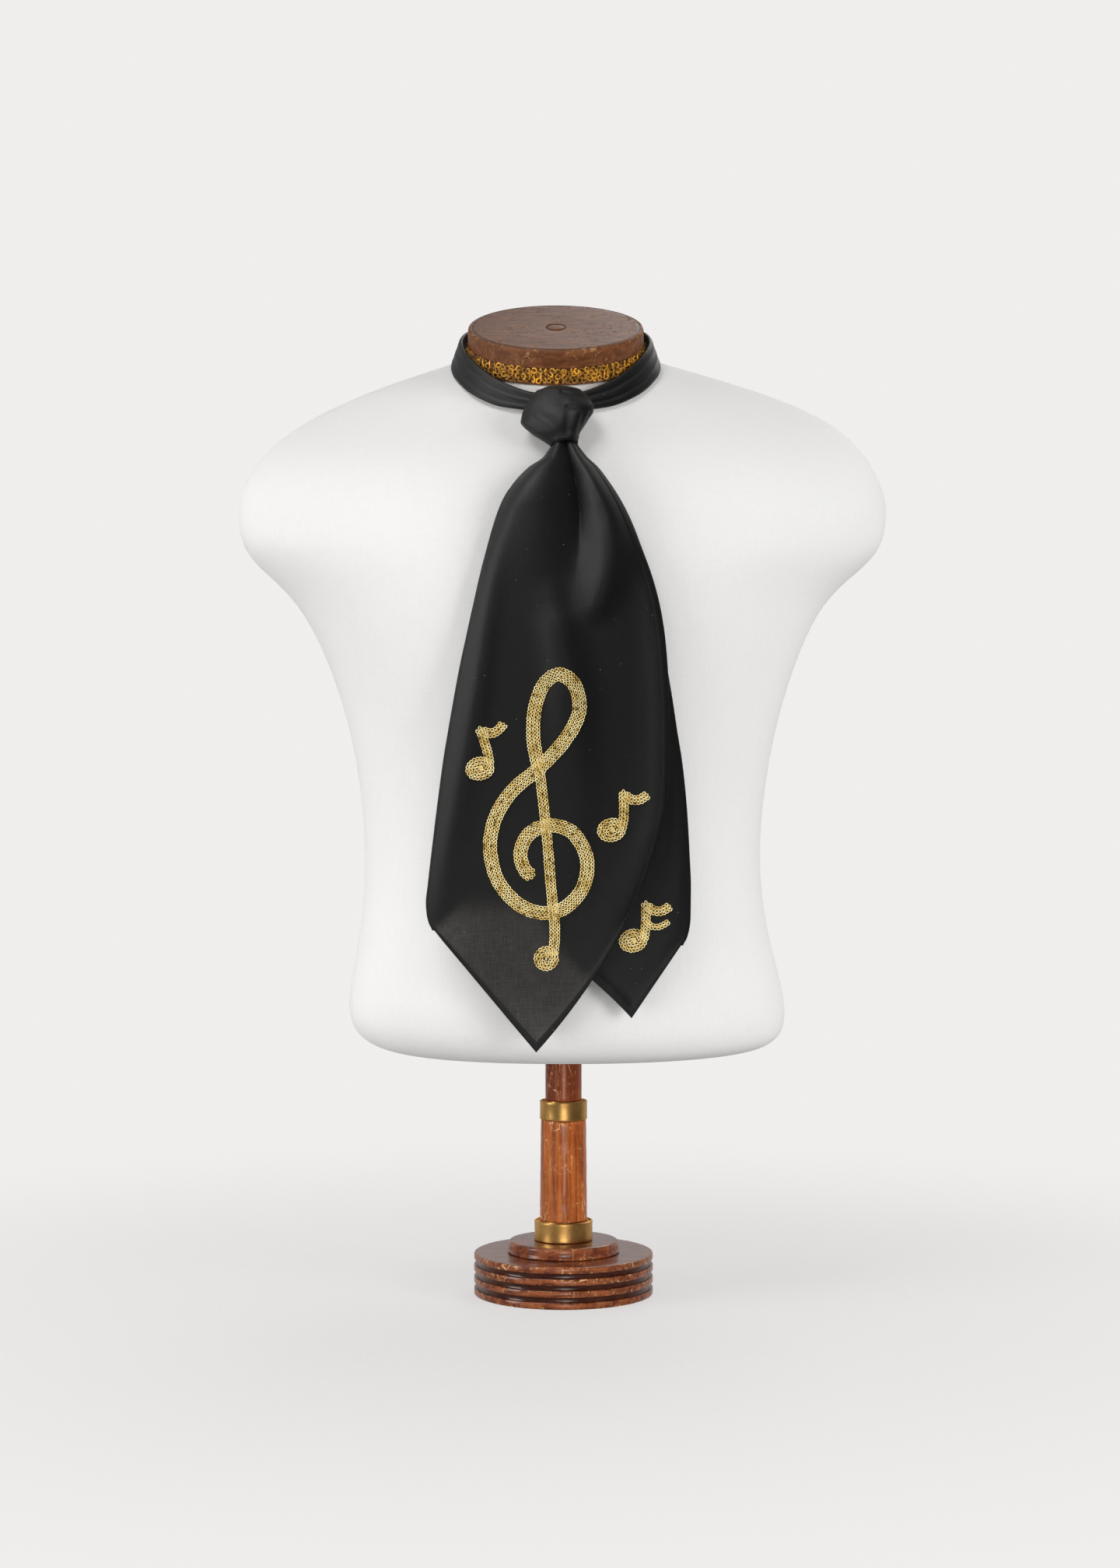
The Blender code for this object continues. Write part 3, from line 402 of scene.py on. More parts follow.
dark, warm, pale = (0.11, 0.018, 0.006), (0.29, 0.065, 0.017), (0.72, 0.42, 0.20)
pole_wood = stained_wood("pole_wood", dark, warm, pale, POLE_GRAIN, 0.25)
dark, warm, pale = (0.19, 0.036, 0.007), (0.46, 0.125, 0.022), (0.84, 0.50, 0.23)
sleeve_wood = stained_wood("sleeve_wood", dark, warm, pale, POLE_GRAIN, 0.62)
dark, warm, pale = (0.085, 0.017, 0.008), (0.27, 0.075, 0.024), (0.66, 0.37, 0.16)
base_wood = stained_wood("base_wood", dark, warm, pale, BASE_GRAIN, 0.31, 0.26, 0.44)
dark, warm, pale = (0.098, 0.033, 0.0125), (0.178, 0.066, 0.025), (0.33, 0.175, 0.075)
block_wood = stained_wood("block_wood", dark, warm, pale, BLOCK_GRAIN, 0.5, 0.50, 0)

t = aged_brass = Finish("aged_brass", {"Metallic": 1})
tarnish = t.noise(t.place, 95, 6, 0.7)
spots = t.ramp(t.noise(t.place, 620), 0.70, 0.76)
metal = t.mix(t.ramp(tarnish, 0.35, 0.7), (0.86, 0.50, 0.165), (0.70, 0.38, 0.11))
t.set("Base Color", t.mix(spots, metal, (0.035, 0.02, 0.012)))
t.set("Roughness", t.ramp(tarnish, 0.3, 0.75, 0.36, 0.42))
t.bump(tarnish, 0.00003, 0.2)
print("finishes:", [m.name for m in bpy.data.materials])

# %% [markdown]
# ## Tables, and a skin over rows of points
#
# Cloth that hangs from a knot is the same at every height but for a few numbers: how
# far out it stands, how wide it is, where its folds run. So the shape is a short table
# with a row for each height that matters, read on a smooth curve between the rows, and
# the mesh is as fine as one likes. Sizes in the tables are millimetres.

# %% Table and skin
class Table:
    """Named columns of numbers, read on a smooth curve that never overshoots a row."""

    def __init__(self, text):
        names, *rows = text.strip().splitlines()
        rows = sorted([float(word) for word in row.split()] for row in rows)
        self.columns = dict(zip(names.split(), zip(*rows)))
        self.keys = [row[0] for row in rows]

    def at(self, key, column):
        keys, values = self.keys, self.columns[column]
        if key <= keys[0]:
            return values[0]
        if key >= keys[-1]:
            return values[-1]
        i = max(n for n, known in enumerate(keys) if known <= key)
        step = keys[i + 1] - keys[i]
        first, second = (self.slope(values, n) * step for n in (i, i + 1))
        s = (key - keys[i]) / step
        return (
            values[i] * (1 + 2 * s) * (1 - s) ** 2
            + first * s * (1 - s) ** 2
            + values[i + 1] * s * s * (3 - 2 * s)
            + second * s * s * (s - 1)
        )

    def slope(self, values, n):
        if n == 0 or n == len(values) - 1:
            return 0.0
        before = (values[n] - values[n - 1]) / (self.keys[n] - self.keys[n - 1])
        after = (values[n + 1] - values[n]) / (self.keys[n + 1] - self.keys[n])
        return 0.0 if before * after <= 0 else 2 * before * after / (before + after)

    def row(self, key):
        """Every column but the first, at one key."""
        return [self.at(key, name) for name in list(self.columns)[1:]]


def quads_between(rows, around=False):
    """Rows of points as one grid: each point's number by its place, the points, and the
    quads between them. A point may be None where the sheet has none."""
    index, points, faces = {}, [], []
    for i, row in enumerate(rows):
        for j, point in enumerate(row):
            if point is not None:
                index[i, j] = len(points)
                points.append(point)
    width = len(rows[0])
    for i in range(len(rows) - 1):
        for j in range(width if around else width - 1):
            after = (j + 1) % width
            corners = [(i, j), (i + 1, j), (i + 1, after), (i, after)]
            if all(corner in index for corner in corners):
                faces.append([index[corner] for corner in corners])
    return index, points, faces


def piece_of(name, mesh, finish, sharp=50):
    mesh.materials.append(finish.material)
    mesh.shade_smooth()
    mesh.set_sharp_from_angle(angle=math.radians(sharp))
    made = bpy.data.objects.new(name, mesh)
    bpy.context.scene.collection.objects.link(made)
    return made


def skin(name, rows, finish, around=False, ends=False, paint=None, sharp=50):
    """An object from rows of points in mm. paint has an attribute's value for each place."""
    index, points, faces = quads_between(rows, around)
    if ends:
        width = len(rows[0])
        faces.append([index[0, j] for j in range(width)])
        faces.append([index[len(rows) - 1, j] for j in reversed(range(width))])
    mesh = bpy.data.meshes.new(name)
    mesh.from_pydata([[v * MM for v in point] for point in points], [], faces)
    for attribute, values in (paint or {}).items():
        layer = mesh.attributes.new(attribute, "FLOAT", "POINT")
        for place, n in index.items():
            layer.data[n].value = values[place]
    return piece_of(name, mesh, finish, sharp)


def fit(piece, slot, *nodes):
    """The piece rides on the part's one body and stands for these CAD nodes."""
    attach(piece, "root")
    if nodes:
        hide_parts(*nodes)
    triangles = sum(len(p.vertices) - 2 for p in piece.data.polygons)
    print(f"{piece.name}: {triangles} triangles before modifiers")
    return piece


# %% [markdown]
# ## How the blades hang
#
# The front blade swells out between its edges, falls back to the sides, and has one
# deep hollow under the knot with a sharp ridge to its right. `hang` is the plane behind
# all layers. The other columns stand the layers off from it. Ridges have a table each.

# %% Shape of the drape
DRAPE = Table("""
z hang tail front crown tail_crown
597 84.2 2 5.2 5.4 0.2
590 87 2 5.2 9.4 0.3
583 90 2 5.4 13 0.5
577 93.4 2.2 5.6 14.8 0.8
570 97.6 2.4 5.8 16 1
559 103.4 2.7 6 16.8 1.2
548 107.8 3 6.2 16 1.4
538 110.8 3.1 6.3 14.2 1.4
517 115.4 3.2 6.4 10.4 1.4
497 118 3.2 6.4 7.6 1.4
482 119.2 3.2 6.4 6 1.2
462 120 3.2 6.4 4.6 1
435 120.2 3.2 6.4 3.8 0.8
394 119.4 3.2 6.4 3.2 0.6
353 118 3.2 6.4 3 0.6
312 116.6 3.2 6.4 2.6 0.6
268 115.4 3.2 6.4 1.8 0.4
230 114.9 3.2 6.4 1 0.2
180 114.6 3.2 6.4 0.3 0
""")
# The hollow under the knot is a crease with a sharp bottom. Its left side falls steeply
# into the shade and its right side rises to a ridge.
CLEFT = Table("""
z x left right depth
597 1 3 2.4 1.6
590 1.4 4.5 3 4
583 2.4 7.5 3.6 7.4
575 4.4 11.5 4.6 11.2
562 7.6 15.5 6 15.2
548 9.8 18.5 7.4 15.8
535 11 20 8.4 14
517 10.4 20 10 10.2
500 8 19 12 6.2
482 4 17 14 2.6
462 0 16 16 0
""")
CLEFT_EDGE = Table("""
z power
590 1.1
540 1.15
500 1.7
470 2
""")
# How late the front blade's swell falls to its left side, and to its right.
FALL = Table("""
z left right
590 4.6 4
545 4 4
500 2.9 4
470 2.5 4
""")
SIDE_CURVE = 0.0007          # how far a blade falls back to its sides, per mm squared
EDGE_ROLL = 2.6              # and how much further close to the folded edge
EDGE_ROLL_WIDTH = 6.5
EDGE_ROLL_FADES = (520, 560) # it is gone higher up, where the cloth is gathered
TAIL_FALL = 2.5              # how late the blade behind falls to its sides
RIDGE_REACH = 4              # a ridge ends this many of its widths away

# Where a blade's two edges are, and how wide a margin is folded behind it.
FRONT_EDGES = Table("""
z left right flap
597 -5.4 6.4 2
590 -6.8 7.8 3
585 -8 9.2 3
582.5 -9.4 10.8 4
576.2 -13.9 15.6 7
569.7 -23 22.4 12
559 -32.8 30.2 18
548.4 -39.6 36.8 23
538 -43.9 42.2 27
527.5 -47.2 46.7 30
517 -50 50.6 33
496.5 -55.2 58 36
476 -59.8 63.4 38
455.5 -64.3 66.6 38
435 -68.7 68.3 38
414.6 -72.5 69.1 37
394 -76.1 69.5 36
373.6 -79.5 69.5 35
353 -82.3 68.6 34
332.6 -84.9 65.2 32
312 -87.4 59.2 30
291.5 -89.8 51.8 28
280 -91 46 27
272 -90.4 42.2 26
266 -88.8 39.2 26
262 -86.9 37 26
""")
BACK_EDGES = Table("""
z left right flap
597 -4 4.4 2
590 -4.2 4.6 3
583 -6 8 4
576.2 -10 11.8 6
569.7 -15 17.5 9
559 -21 25 14
548.4 -27 31.5 19
538 -31.5 37 24
517 -38.5 46 32
496.5 -44 53.5 38
476 -49 59.5 42
455.5 -53 64 45
435 -56.5 68.4 47
414.6 -59.5 71.9 48
394 -62 75 48
373.6 -64.5 78.3 48
353 -66.5 80.6 48
332.6 -68.3 82.2 47
312 -70 83.3 46
291 -71 84.2 46
270 -71.6 84 46
261 -71.8 82.8 46
256 -71.9 81.2 45
252 -72 79.2 45
""")


def ridges(text):
    """A table for each block of rows: where a ridge runs, its width and its height."""
    return [Table("z x width height\n" + block.strip()) for block in text.split("\n\n")]


FRONT_RIDGES = ridges("""
575 -16 6 0
548 -31 7 0.8
517 -43 8 2
471 -50 8.5 3.2
425 -56 9 3.8
394 -61 9.5 3.6
347 -69 10 3.2
300 -76 11 2.4
262 -77 12 1.2

500 -8 8 0
480 -7 11 2.6
456 -2 13 6.4
425 3 14 7
394 5 15 5.6
347 7 17 3.2
290 -6 19 2.2
240 -18 20 2.4
190 -18 20 1

578 8 4 0
562 18 6 1.4
548 25 8 2.6
533 30.5 9.5 4
515 31.5 11 5
497 29 11 5.2
478 24 10 3.8
460 19 9 0

525 51 7 0
480 59 9 3.2
440 64.5 10.5 6
394 66.5 11 7
347 65 11 6.8
312 56 11 5
285 46 12 2.6
262 36 12 0
""")
BACK_RIDGES = ridges("""
440 66 7 0
380 73 7.5 1.4
320 77 8 2
265 74 10 1.2
225 56 12 0
""")


def smooth(value, low, high):
    share = min(1.0, max(0.0, (value - low) / (high - low)))
    return share * share * (3 - 2 * share)


def ridge_height(tables, x, z):
    total = 0.0
    for ridge in tables:
        away = (x - ridge.at(z, "x")) / ridge.at(z, "width")
        if abs(away) < RIDGE_REACH:
            total += ridge.at(z, "height") * math.exp(-away * away)
    return total


def hang_y(x, z):
    return -DRAPE.at(z, "hang") + SIDE_CURVE * x * x


def front_y(x, z, side):
    """Depth of the front blade's middle. side runs from -1 at the fold to 1 at the hem."""
    power = FALL.at(z, "left" if side < 0 else "right")
    swell = DRAPE.at(z, "crown") * (1 - min(1, abs(side)) ** power)
    away = x - CLEFT.at(z, "x")
    away /= CLEFT.at(z, "right" if away > 0 else "left")
    hollow = CLEFT.at(z, "depth") * math.exp(-(abs(away) ** CLEFT_EDGE.at(z, "power")))
    from_fold = max(0, x - FRONT_EDGES.at(z, "left"))
    roll = EDGE_ROLL * math.exp(-from_fold / EDGE_ROLL_WIDTH) * (1 - smooth(z, *EDGE_ROLL_FADES))
    lift = DRAPE.at(z, "front") + swell - hollow - roll + ridge_height(FRONT_RIDGES, x, z)
    return hang_y(x, z) - lift


def back_y(x, z, side):
    swell = DRAPE.at(z, "tail_crown") * (1 - min(1, abs(side)) ** TAIL_FALL)
    return hang_y(x, z) - DRAPE.at(z, "tail") - swell - ridge_height(BACK_RIDGES, x, z)


print("drape from", DRAPE.keys[0], "to", DRAPE.keys[-1], "mm")

# %% [markdown]
# ## Cutting a blade
#
# Each blade is a grid. A row starts at the free edge of the margin turned under, goes
# round the fold and crosses the front to the hemmed edge. The last rows follow the
# point. A hem is the cloth turned over twice, so the sheet is thick there and a little
# pinched where its stitching goes through: a vertex group says how thick each point is.

# %% The Blade class
HEM_WIDTH = 4.3
CLOTH = 0.55                 # one layer, finer than the solid's wall
HEM = 1.5                    # the double-turned hem
BLADE_TOP = 597
FLAP_TOP = 556               # higher up the margin has run out
FOLD_RADIUS = 1.5
FOLD_GROWS = 30              # the fold opens to its radius over this height
FOLD_BLENDS = 5              # and the margin comes close to the blade over this width
LAYER_STEP = 1.75            # from the blade's middle to the margin's behind it
FLAP_RISE = 1.02             # the margin's end slants up from the fold's corner
FLAP_COLUMNS = 24
FOLD_COLUMNS = 6
LAST_ROW = 0.972             # the rows above the point's hem stop here
ROWS_CROWD = 1.35            # they lie closer together at the top, where the folds are
POINT_RISE = 1.5 * HEM_WIDTH # the point's edges slant, so their hem is taller than wide
HEM_CORNER_RISE = 1.25       # and taller still where it meets the side's hem
HEM_TAPERS = (1, 9)          # columns from the fold over which the point's hem thickens

# How far through the hem each of its lines is, and how full it is there.
HEM_LINES = ((0, 0), (0.08, 0.75), (0.22, 0.5), (0.36, 0.9), (0.7, 1), (0.93, 0.9), (1, 0.6))
STITCH_LINE = 2              # the stitching pinches this one


@dataclass
class Blade:
    """A hanging end as rows of points."""

    edges: Table
    depth: object            # gives y for x, z and the side from -1 to 1
    corners: tuple           # how high the fold's corner is, and the hem's
    tip: tuple
    bow: float               # how far the point's edge curves out on the hem's side
    mirror: int              # 1 with the fold on the left, -1 on the right
    columns: int
    tip_column: int
    rows: int

    def fractions(self, width):
        """Where the columns lie, from the fold at 0 to the hemmed edge at 1."""
        hem = min(HEM_WIDTH, 0.05 * width) / width
        inner = [(1 - hem) * j / self.columns for j in range(self.columns)]
        return inner + [1 - hem + hem * through for through, _ in HEM_LINES]

    def row(self, v, rise=0):
        """The row v of the way down to the corners, where the last ones bend to the point."""
        fold_corner, hem_corner = self.corners
        fold_z = BLADE_TOP + (fold_corner - BLADE_TOP) * v + rise
        hem_z = BLADE_TOP + (hem_corner - BLADE_TOP) * v + HEM_CORNER_RISE * rise
        radius = FOLD_RADIUS * min(1, max(0, (FLAP_TOP + 2 - fold_z) / FOLD_GROWS))
        fold, hem = ("left", "right")[:: self.mirror]
        fold_x = self.edges.at(fold_z, fold) + self.mirror * radius
        hem_x = self.edges.at(hem_z, hem)
        width = abs(hem_x - fold_x)
        places = self.fractions(width)
        peak = places[self.tip_column]
        tip_x, tip_z = self.tip
        drop = (fold_corner + (hem_corner - fold_corner) * peak - tip_z) * v**4
        shift = (tip_x - fold_x - (hem_x - fold_x) * peak) * v**4
        points = []
        for u in places:
            tent = u / peak if u <= peak else (1 - u) / (1 - peak)
            bow = self.mirror * self.bow * 4 * tent * (1 - tent) * v**4 if u > peak else 0
            x = fold_x + (hem_x - fold_x) * u + shift * tent + bow
            z = fold_z + (hem_z - fold_z) * u - drop * tent
            points.append((x, self.depth(x, z, 2 * u - 1), z))
        if fold_z > FLAP_TOP:
            return [None] * (FLAP_COLUMNS + FOLD_COLUMNS) + points
        return self.flap(v, fold_x, fold_z, width, radius) + points

    def flap(self, v, fold_x, fold_z, width, radius):
        """The margin behind the blade, from its free edge to the last point of the fold."""
        reach = self.edges.at(fold_z, "flap") - radius
        points = []
        for k in range(FLAP_COLUMNS + 1):
            away = reach * (1 - k / FLAP_COLUMNS)
            x = fold_x + self.mirror * away
            z = fold_z + FLAP_RISE * away * v**4
            step = LAYER_STEP + (2 * radius - LAYER_STEP) * math.exp(-away / FOLD_BLENDS)
            points.append((x, self.depth(x, z, 2 * away / width - 1) + step, z))
        y = self.depth(fold_x, fold_z, -1) + radius
        for k in range(1, FOLD_COLUMNS):
            angle = math.pi * (1 - k / FOLD_COLUMNS)
            x = fold_x - self.mirror * radius * math.sin(angle)
            points.append((x, y - radius * math.cos(angle), fold_z))
        return points

    def grid(self):
        """Rows of points, and how full the hem is at each."""
        rows = [self.row(LAST_ROW * (i / self.rows) ** ROWS_CROWD) for i in range(self.rows + 1)]
        rows += [self.row(1, rise=POINT_RISE * (1 - through)) for through, _ in HEM_LINES]
        side_hem = len(rows[0]) - len(HEM_LINES)
        point_hem = len(rows) - len(HEM_LINES)
        full = {}
        for i, row in enumerate(rows):
            below = HEM_LINES[i - point_hem][1] if i >= point_hem else 0.0
            for j, point in enumerate(row):
                if point is not None:
                    beside = HEM_LINES[j - side_hem][1] if j >= side_hem else 0.0
                    taper = smooth(abs(j - FLAP_COLUMNS - 0.5 * FOLD_COLUMNS), *HEM_TAPERS)
                    full[i, j] = max(below * taper, beside)
        return rows, full


print("hem", HEM_WIDTH, "mm wide,", HEM, "mm thick")

# %% [markdown]
# The tool for thin cloth is a sheet with a Solidify modifier, told by a vertex group how
# thick it is at each point. To find where one layer hangs alone, a ray goes back from
# each point: it hits the margin, the blade behind, or nothing.

# %% Cut and thicken
SHEER_BELOW = 288            # higher up, more folds of the strip lie behind
SHEER_FADES = 20
HANGING, LYING = 0.62, 0.45  # how much shows through, and how much more close to the form
CLOSE_TO_FORM = ((-80, 258), (-20, 194))
CLOSE_WIDTH = 20
# The blade behind hangs close to the right of a line through this point. x over z is its slant.
CLOSE_LINE_X, CLOSE_LINE_Z, CLOSE_LINE_SLANT = 18, 218, 0.59
CLOSE_LINE_FADES = (-9, 5)
HIDDEN = 0.92
BACKWARD = Vector((0, 1, 0))
CLEAR = 0.2                  # a ray starts this far behind its point
REACH = 40                   # and no layer lies further behind than this


def tree_of(rows, first, last):
    """The columns of a grid from first to last, as a tree that rays can be cast at."""
    _, points, faces = quads_between([row[first : last + 1] for row in rows])
    return BVHTree.FromPolygons(points, faces)


def see_through(point, covered):
    """How much of the form's light through one layer is painted on. The part of the blade
    behind that hangs close to it, right of a slanting line, leaves almost nothing to see."""
    x, _, z = point
    near = 1 - smooth(z, SHEER_BELOW - SHEER_FADES, SHEER_BELOW)
    if covered:
        past_line = x + CLOSE_LINE_SLANT * (z - CLOSE_LINE_Z) - CLOSE_LINE_X
        near *= 1 - HIDDEN * smooth(past_line, *CLOSE_LINE_FADES)
    away = (((x - cx) ** 2 + (z - cz) ** 2) / CLOSE_WIDTH**2 for cx, cz in CLOSE_TO_FORM)
    return near * min(1, HANGING + LYING * sum(math.exp(-a) for a in away))


def softened(values):
    """Each value averaged with its neighbours in the grid."""
    made = {}
    for i, j in values:
        near = [values[p] for p in ((i, j), (i - 1, j), (i + 1, j), (i, j - 1), (i, j + 1)) if p in values]
        made[i, j] = sum(near) / len(near)
    return made


def cut_blade(name, blade, thinness, covered_by=()):
    """The blade's sheet, thick at its hems. Where nothing lies behind it, one layer hangs, and the form's
    light through it is painted on.
    """
    rows, full = blade.grid()
    own_flap = tree_of(rows, 0, FLAP_COLUMNS)
    single = {}
    for i, row in enumerate(rows):
        for j, point in enumerate(row):
            if point is not None:
                start = Vector(point) + CLEAR * BACKWARD
                folded = j <= FLAP_COLUMNS + FOLD_COLUMNS or own_flap.ray_cast(start, BACKWARD, REACH)[0]
                covered = any(tree.ray_cast(start, BACKWARD, REACH)[0] for tree in covered_by)
                single[i, j] = 0.0 if folded else thinness * see_through(point, covered)
    single = {place: 0.0 if full[place] > 0 else value for place, value in softened(single).items()}
    sheet = skin(name, rows, black_cloth, paint={"painted_see_through": single, "hem": full})
    group = sheet.vertex_groups.new(name="hem")
    for vertex, value in zip(sheet.data.vertices, sheet.data.attributes["hem"].data):
        group.add([vertex.index], value.value, "REPLACE")
    wall = sheet.modifiers.new("Cloth", "SOLIDIFY")
    wall.thickness = HEM * MM
    wall.offset = 0
    wall.vertex_group = "hem"
    wall.thickness_vertex_group = CLOTH / HEM
    return sheet, rows, tree_of(rows, FLAP_COLUMNS, len(rows[0]) - 1)


tail_blade = Blade(
    BACK_EDGES,
    lambda x, z, side: back_y(x, z, -side),
    corners=(252, 291),
    tip=(45, 204),
    bow=-9.5,
    mirror=-1,
    columns=80,
    tip_column=20,
    rows=170,
)
tail, tail_rows, tail_tree = cut_blade("cravat_tail", tail_blade, 0.06)
fit(tail, "black_cloth", "back_blade")

front_blade = Blade(
    FRONT_EDGES,
    front_y,
    corners=(262, 272),
    tip=(-18, 182),
    bow=5,
    mirror=1,
    columns=140,
    tip_column=76,
    rows=200,
)
front, front_rows, front_tree = cut_blade("cravat_front", front_blade, 1, [tail_tree])
fit(front, "black_cloth", "front_blade")

# %% [markdown]
# ## Hem stitching
#
# A line of machine stitches holds each hem. Single stitches are 2.4 mm long and sink
# into the cloth at both ends. They are small tubes along the hem's inner line, all
# joined in one mesh. `Strands` is used again for the embroidery and the braid.

# %% Tubes and stitches
STITCH = 2.4
STITCH_STEP = 3.2
THREAD_RADIUS = 0.17
FORWARD = Vector((0, -1, 0))


class Strands:
    """Many small tubes gathered into one mesh, each with its own shade."""

    def __init__(self, sides=5):
        self.sides = sides
        self.points, self.faces, self.shades = [], [], []

    def add(self, path, radii, shade, up=FORWARD):
        first = len(self.points)
        for i, centre in enumerate(path):
            before, after = path[max(i - 1, 0)], path[min(i + 1, len(path) - 1)]
            along = (after - before).normalized()
            side = along.cross(up)
            side = side.normalized() if side.length > 1e-6 else Vector((1, 0, 0))
            rise = side.cross(along)
            for turn in turns(self.sides):
                self.points.append(centre + radii[i] * (math.cos(turn) * side + math.sin(turn) * rise))
                self.shades.append(shade)
        for i in range(len(path) - 1):
            for k in range(self.sides):
                a, b = first + i * self.sides + k, first + i * self.sides + (k + 1) % self.sides
                self.faces.append((a, b, b + self.sides, a + self.sides))
        last = first + (len(path) - 1) * self.sides
        self.faces.append(tuple(first + k for k in reversed(range(self.sides))))
        self.faces.append(tuple(last + k for k in range(self.sides)))

    def made(self, name, finish):
        mesh = bpy.data.meshes.new(name)
        mesh.from_pydata([point * MM for point in self.points], [], self.faces)
        mesh.attributes.new("shade", "FLOAT", "POINT").data.foreach_set("value", self.shades)
        return piece_of(name, mesh, finish, 80)


def spaced(path, step):
    """Points at equal steps along a path, with the direction at each."""
    places, left = [], 0.0
    for start, end in zip(path, path[1:]):
        length = (end - start).length
        while left <= length and length > 0:
            places.append((start.lerp(end, left / length), (end - start).normalized()))
            left += step
        left -= length
    return places


def stitch_line(name, rows, start_z):
    """Stitches down the hemmed edge and round the point."""
    column = len(rows[0]) - len(HEM_LINES) + STITCH_LINE
    bottom = len(rows) - len(HEM_LINES) + STITCH_LINE
    path = [row[column] for row in rows[: bottom + 1] if row[column] and row[column][2] < start_z]
    path += reversed(rows[bottom][FLAP_COLUMNS + FOLD_COLUMNS : column + 1])
    path = [Vector(p) for p in path]
    path = [p for i, p in enumerate(path) if i == 0 or (p - path[i - 1]).length > 0.05]
    strands = Strands()
    half = 0.5 * STITCH
    out, sunk = 0.5 * FORWARD, 0.2 * FORWARD
    for middle, along in spaced(path, STITCH_STEP):
        ends = [middle - half * along + sunk, middle - 0.6 * half * along + out]
        ends += [middle + 0.6 * half * along + out, middle + half * along + sunk]
        strands.add(ends, [THREAD_RADIUS * r for r in (0.6, 1, 1, 0.6)], 0.5)
    return strands.made(name, black_thread)


front_stitches = fit(stitch_line("front_hem_stitches", front_rows, 566), "black_cloth")
tail_stitches = fit(stitch_line("tail_hem_stitches", tail_rows, 540), "black_cloth")

# %% [markdown]
# ## The knot
#
# One turn of the strip goes round the other and shows as a smooth face, wider at its
# waist than at its rim or at the ring where the blades come out. It leans to one side.
# The turn inside shows only as a low hump over the rim.

# %% Knot wrap and inner turn
KNOT = Table("""
ring z x y half_width half_depth lift roll
0 585.2 0.6 -95.4 9.2 8.8 2.8 1.2
1 588.8 -1.6 -93.6 12 9.8 2.6 1.2
2 594 -4.6 -90.8 16.8 11.4 2.2 1.2
3 600 -5.1 -87.4 21.9 12.6 2.2 2.2
4 605 -4.4 -84.8 24.6 13 1 3.2
5 610 -3.8 -82.2 24.2 12.8 0.4 2.6
6 615.5 -3.3 -79.2 21.8 12 0 1.4
7 620.5 -3.1 -76.6 18.6 10.6 0 0.6
8 623.4 -3 -75.4 15.4 9.2 0 0.2
""")
KNOT_TOP = 8
KNOT_COLUMNS = 144
WRAP_INSET = 0.15
WRAP_WALL = 0.9
WRAP_FOOT = 0.55             # the ring where the rolled rim ends and the face begins
FACE_ROWS, OVER_ROWS, TURN_ROWS = 60, 16, 24
TURN_CLEAR = 3.4
TURN_BOTTOM = 2.9

# The cloth at the top of the wrap, drawn over to the neck: rise, and the oval there.
KNOT_OVER = Table("""
rise x y half_width half_depth
0 -3 -75.4 15.4 9.2
0.8 -2.4 -75.2 14 8.6
1.7 -2.2 -74.8 12 7.6
2.6 -2.8 -74.2 9.4 6.2
3.3 -3.6 -73.6 6.4 4.6
3.7 -4 -73 3 2.6
""")
TOP_RISE = 3.7

# Creases of the knot's face: a line from one point to another in mm, its width, and how
# far it stands out (a trough is negative).
KNOT_CREASES = (
    ((-1, 621.6), (17, 617.6), 1.3, -1.1),
    ((4, 615), (19.5, 611.5), 2.4, 1),
    ((3, 611.4), (18.5, 607.6), 1.5, -0.8),
    ((9.5, 607), (7, 592), 3, 1.3),
    ((14.5, 606), (11, 594), 2.2, -1.2),
    ((3, 606), (2, 593.5), 2.6, -0.6),
    ((-20.5, 603.5), (-6, 589.5), 1.3, -0.5),
    ((-17, 611), (-4, 604), 4, -0.5),
    ((-17, 606), (-6, 596), 3.2, 0.7),
)
# The layer below shows past the wrap's lower right edge, behind a sharp groove.
UNDER_LAYER = ((18.6, 606.5), (12.2, 592), 1, -3)
# Down the rolled rim: how far up from its foot, and how far it stands out.
RIM_ROLL = (
    (0, -0.5), (0.03, 0), (0.08, 0.3), (0.15, 0.42), (0.22, 0.25),
    (0.27, -0.4), (0.31, -0.55), (0.37, -0.15), (0.45, 0),
)


def crease(x, z, line):
    (x0, z0), (x1, z1), width, height = line
    dx, dz = x1 - x0, z1 - z0
    share = ((x - x0) * dx + (z - z0) * dz) / (dx * dx + dz * dz)
    held = min(1, max(0, share))
    away = math.hypot(x - x0 - held * dx, z - z0 - held * dz) / width
    return height * math.exp(-away * away)


def knot_ring(level, inset=0, creased=False):
    middle_z, middle_x, middle_y, half_width, half_depth, lift, roll = KNOT.row(level)
    ring = []
    for angle in turns(KNOT_COLUMNS):
        across, along = math.cos(angle), math.sin(angle)
        z = middle_z + roll * across + lift * max(0, -along) ** 1.5
        out = 0
        if creased:
            x = middle_x + half_width * across
            out = sum(crease(x, z, line) for line in KNOT_CREASES) * max(0, -along)
            out += crease(x, z, UNDER_LAYER) * min(1, max(0, 0.2 - along))
        x = middle_x + (half_width - inset + out) * across
        ring.append((x, middle_y + (half_depth - inset + out) * along, z))
    return ring


def top_ring(rise):
    x, y, half_width, half_depth = KNOT_OVER.row(rise)
    z = KNOT.at(KNOT_TOP, "z") + rise
    return [(x + half_width * math.cos(a), y + half_depth * math.sin(a), z) for a in turns(KNOT_COLUMNS)]


def levels(first, rows):
    """Equal steps from the first level to the knot's top."""
    return [first + (KNOT_TOP - first) * i / rows for i in range(rows + 1)]


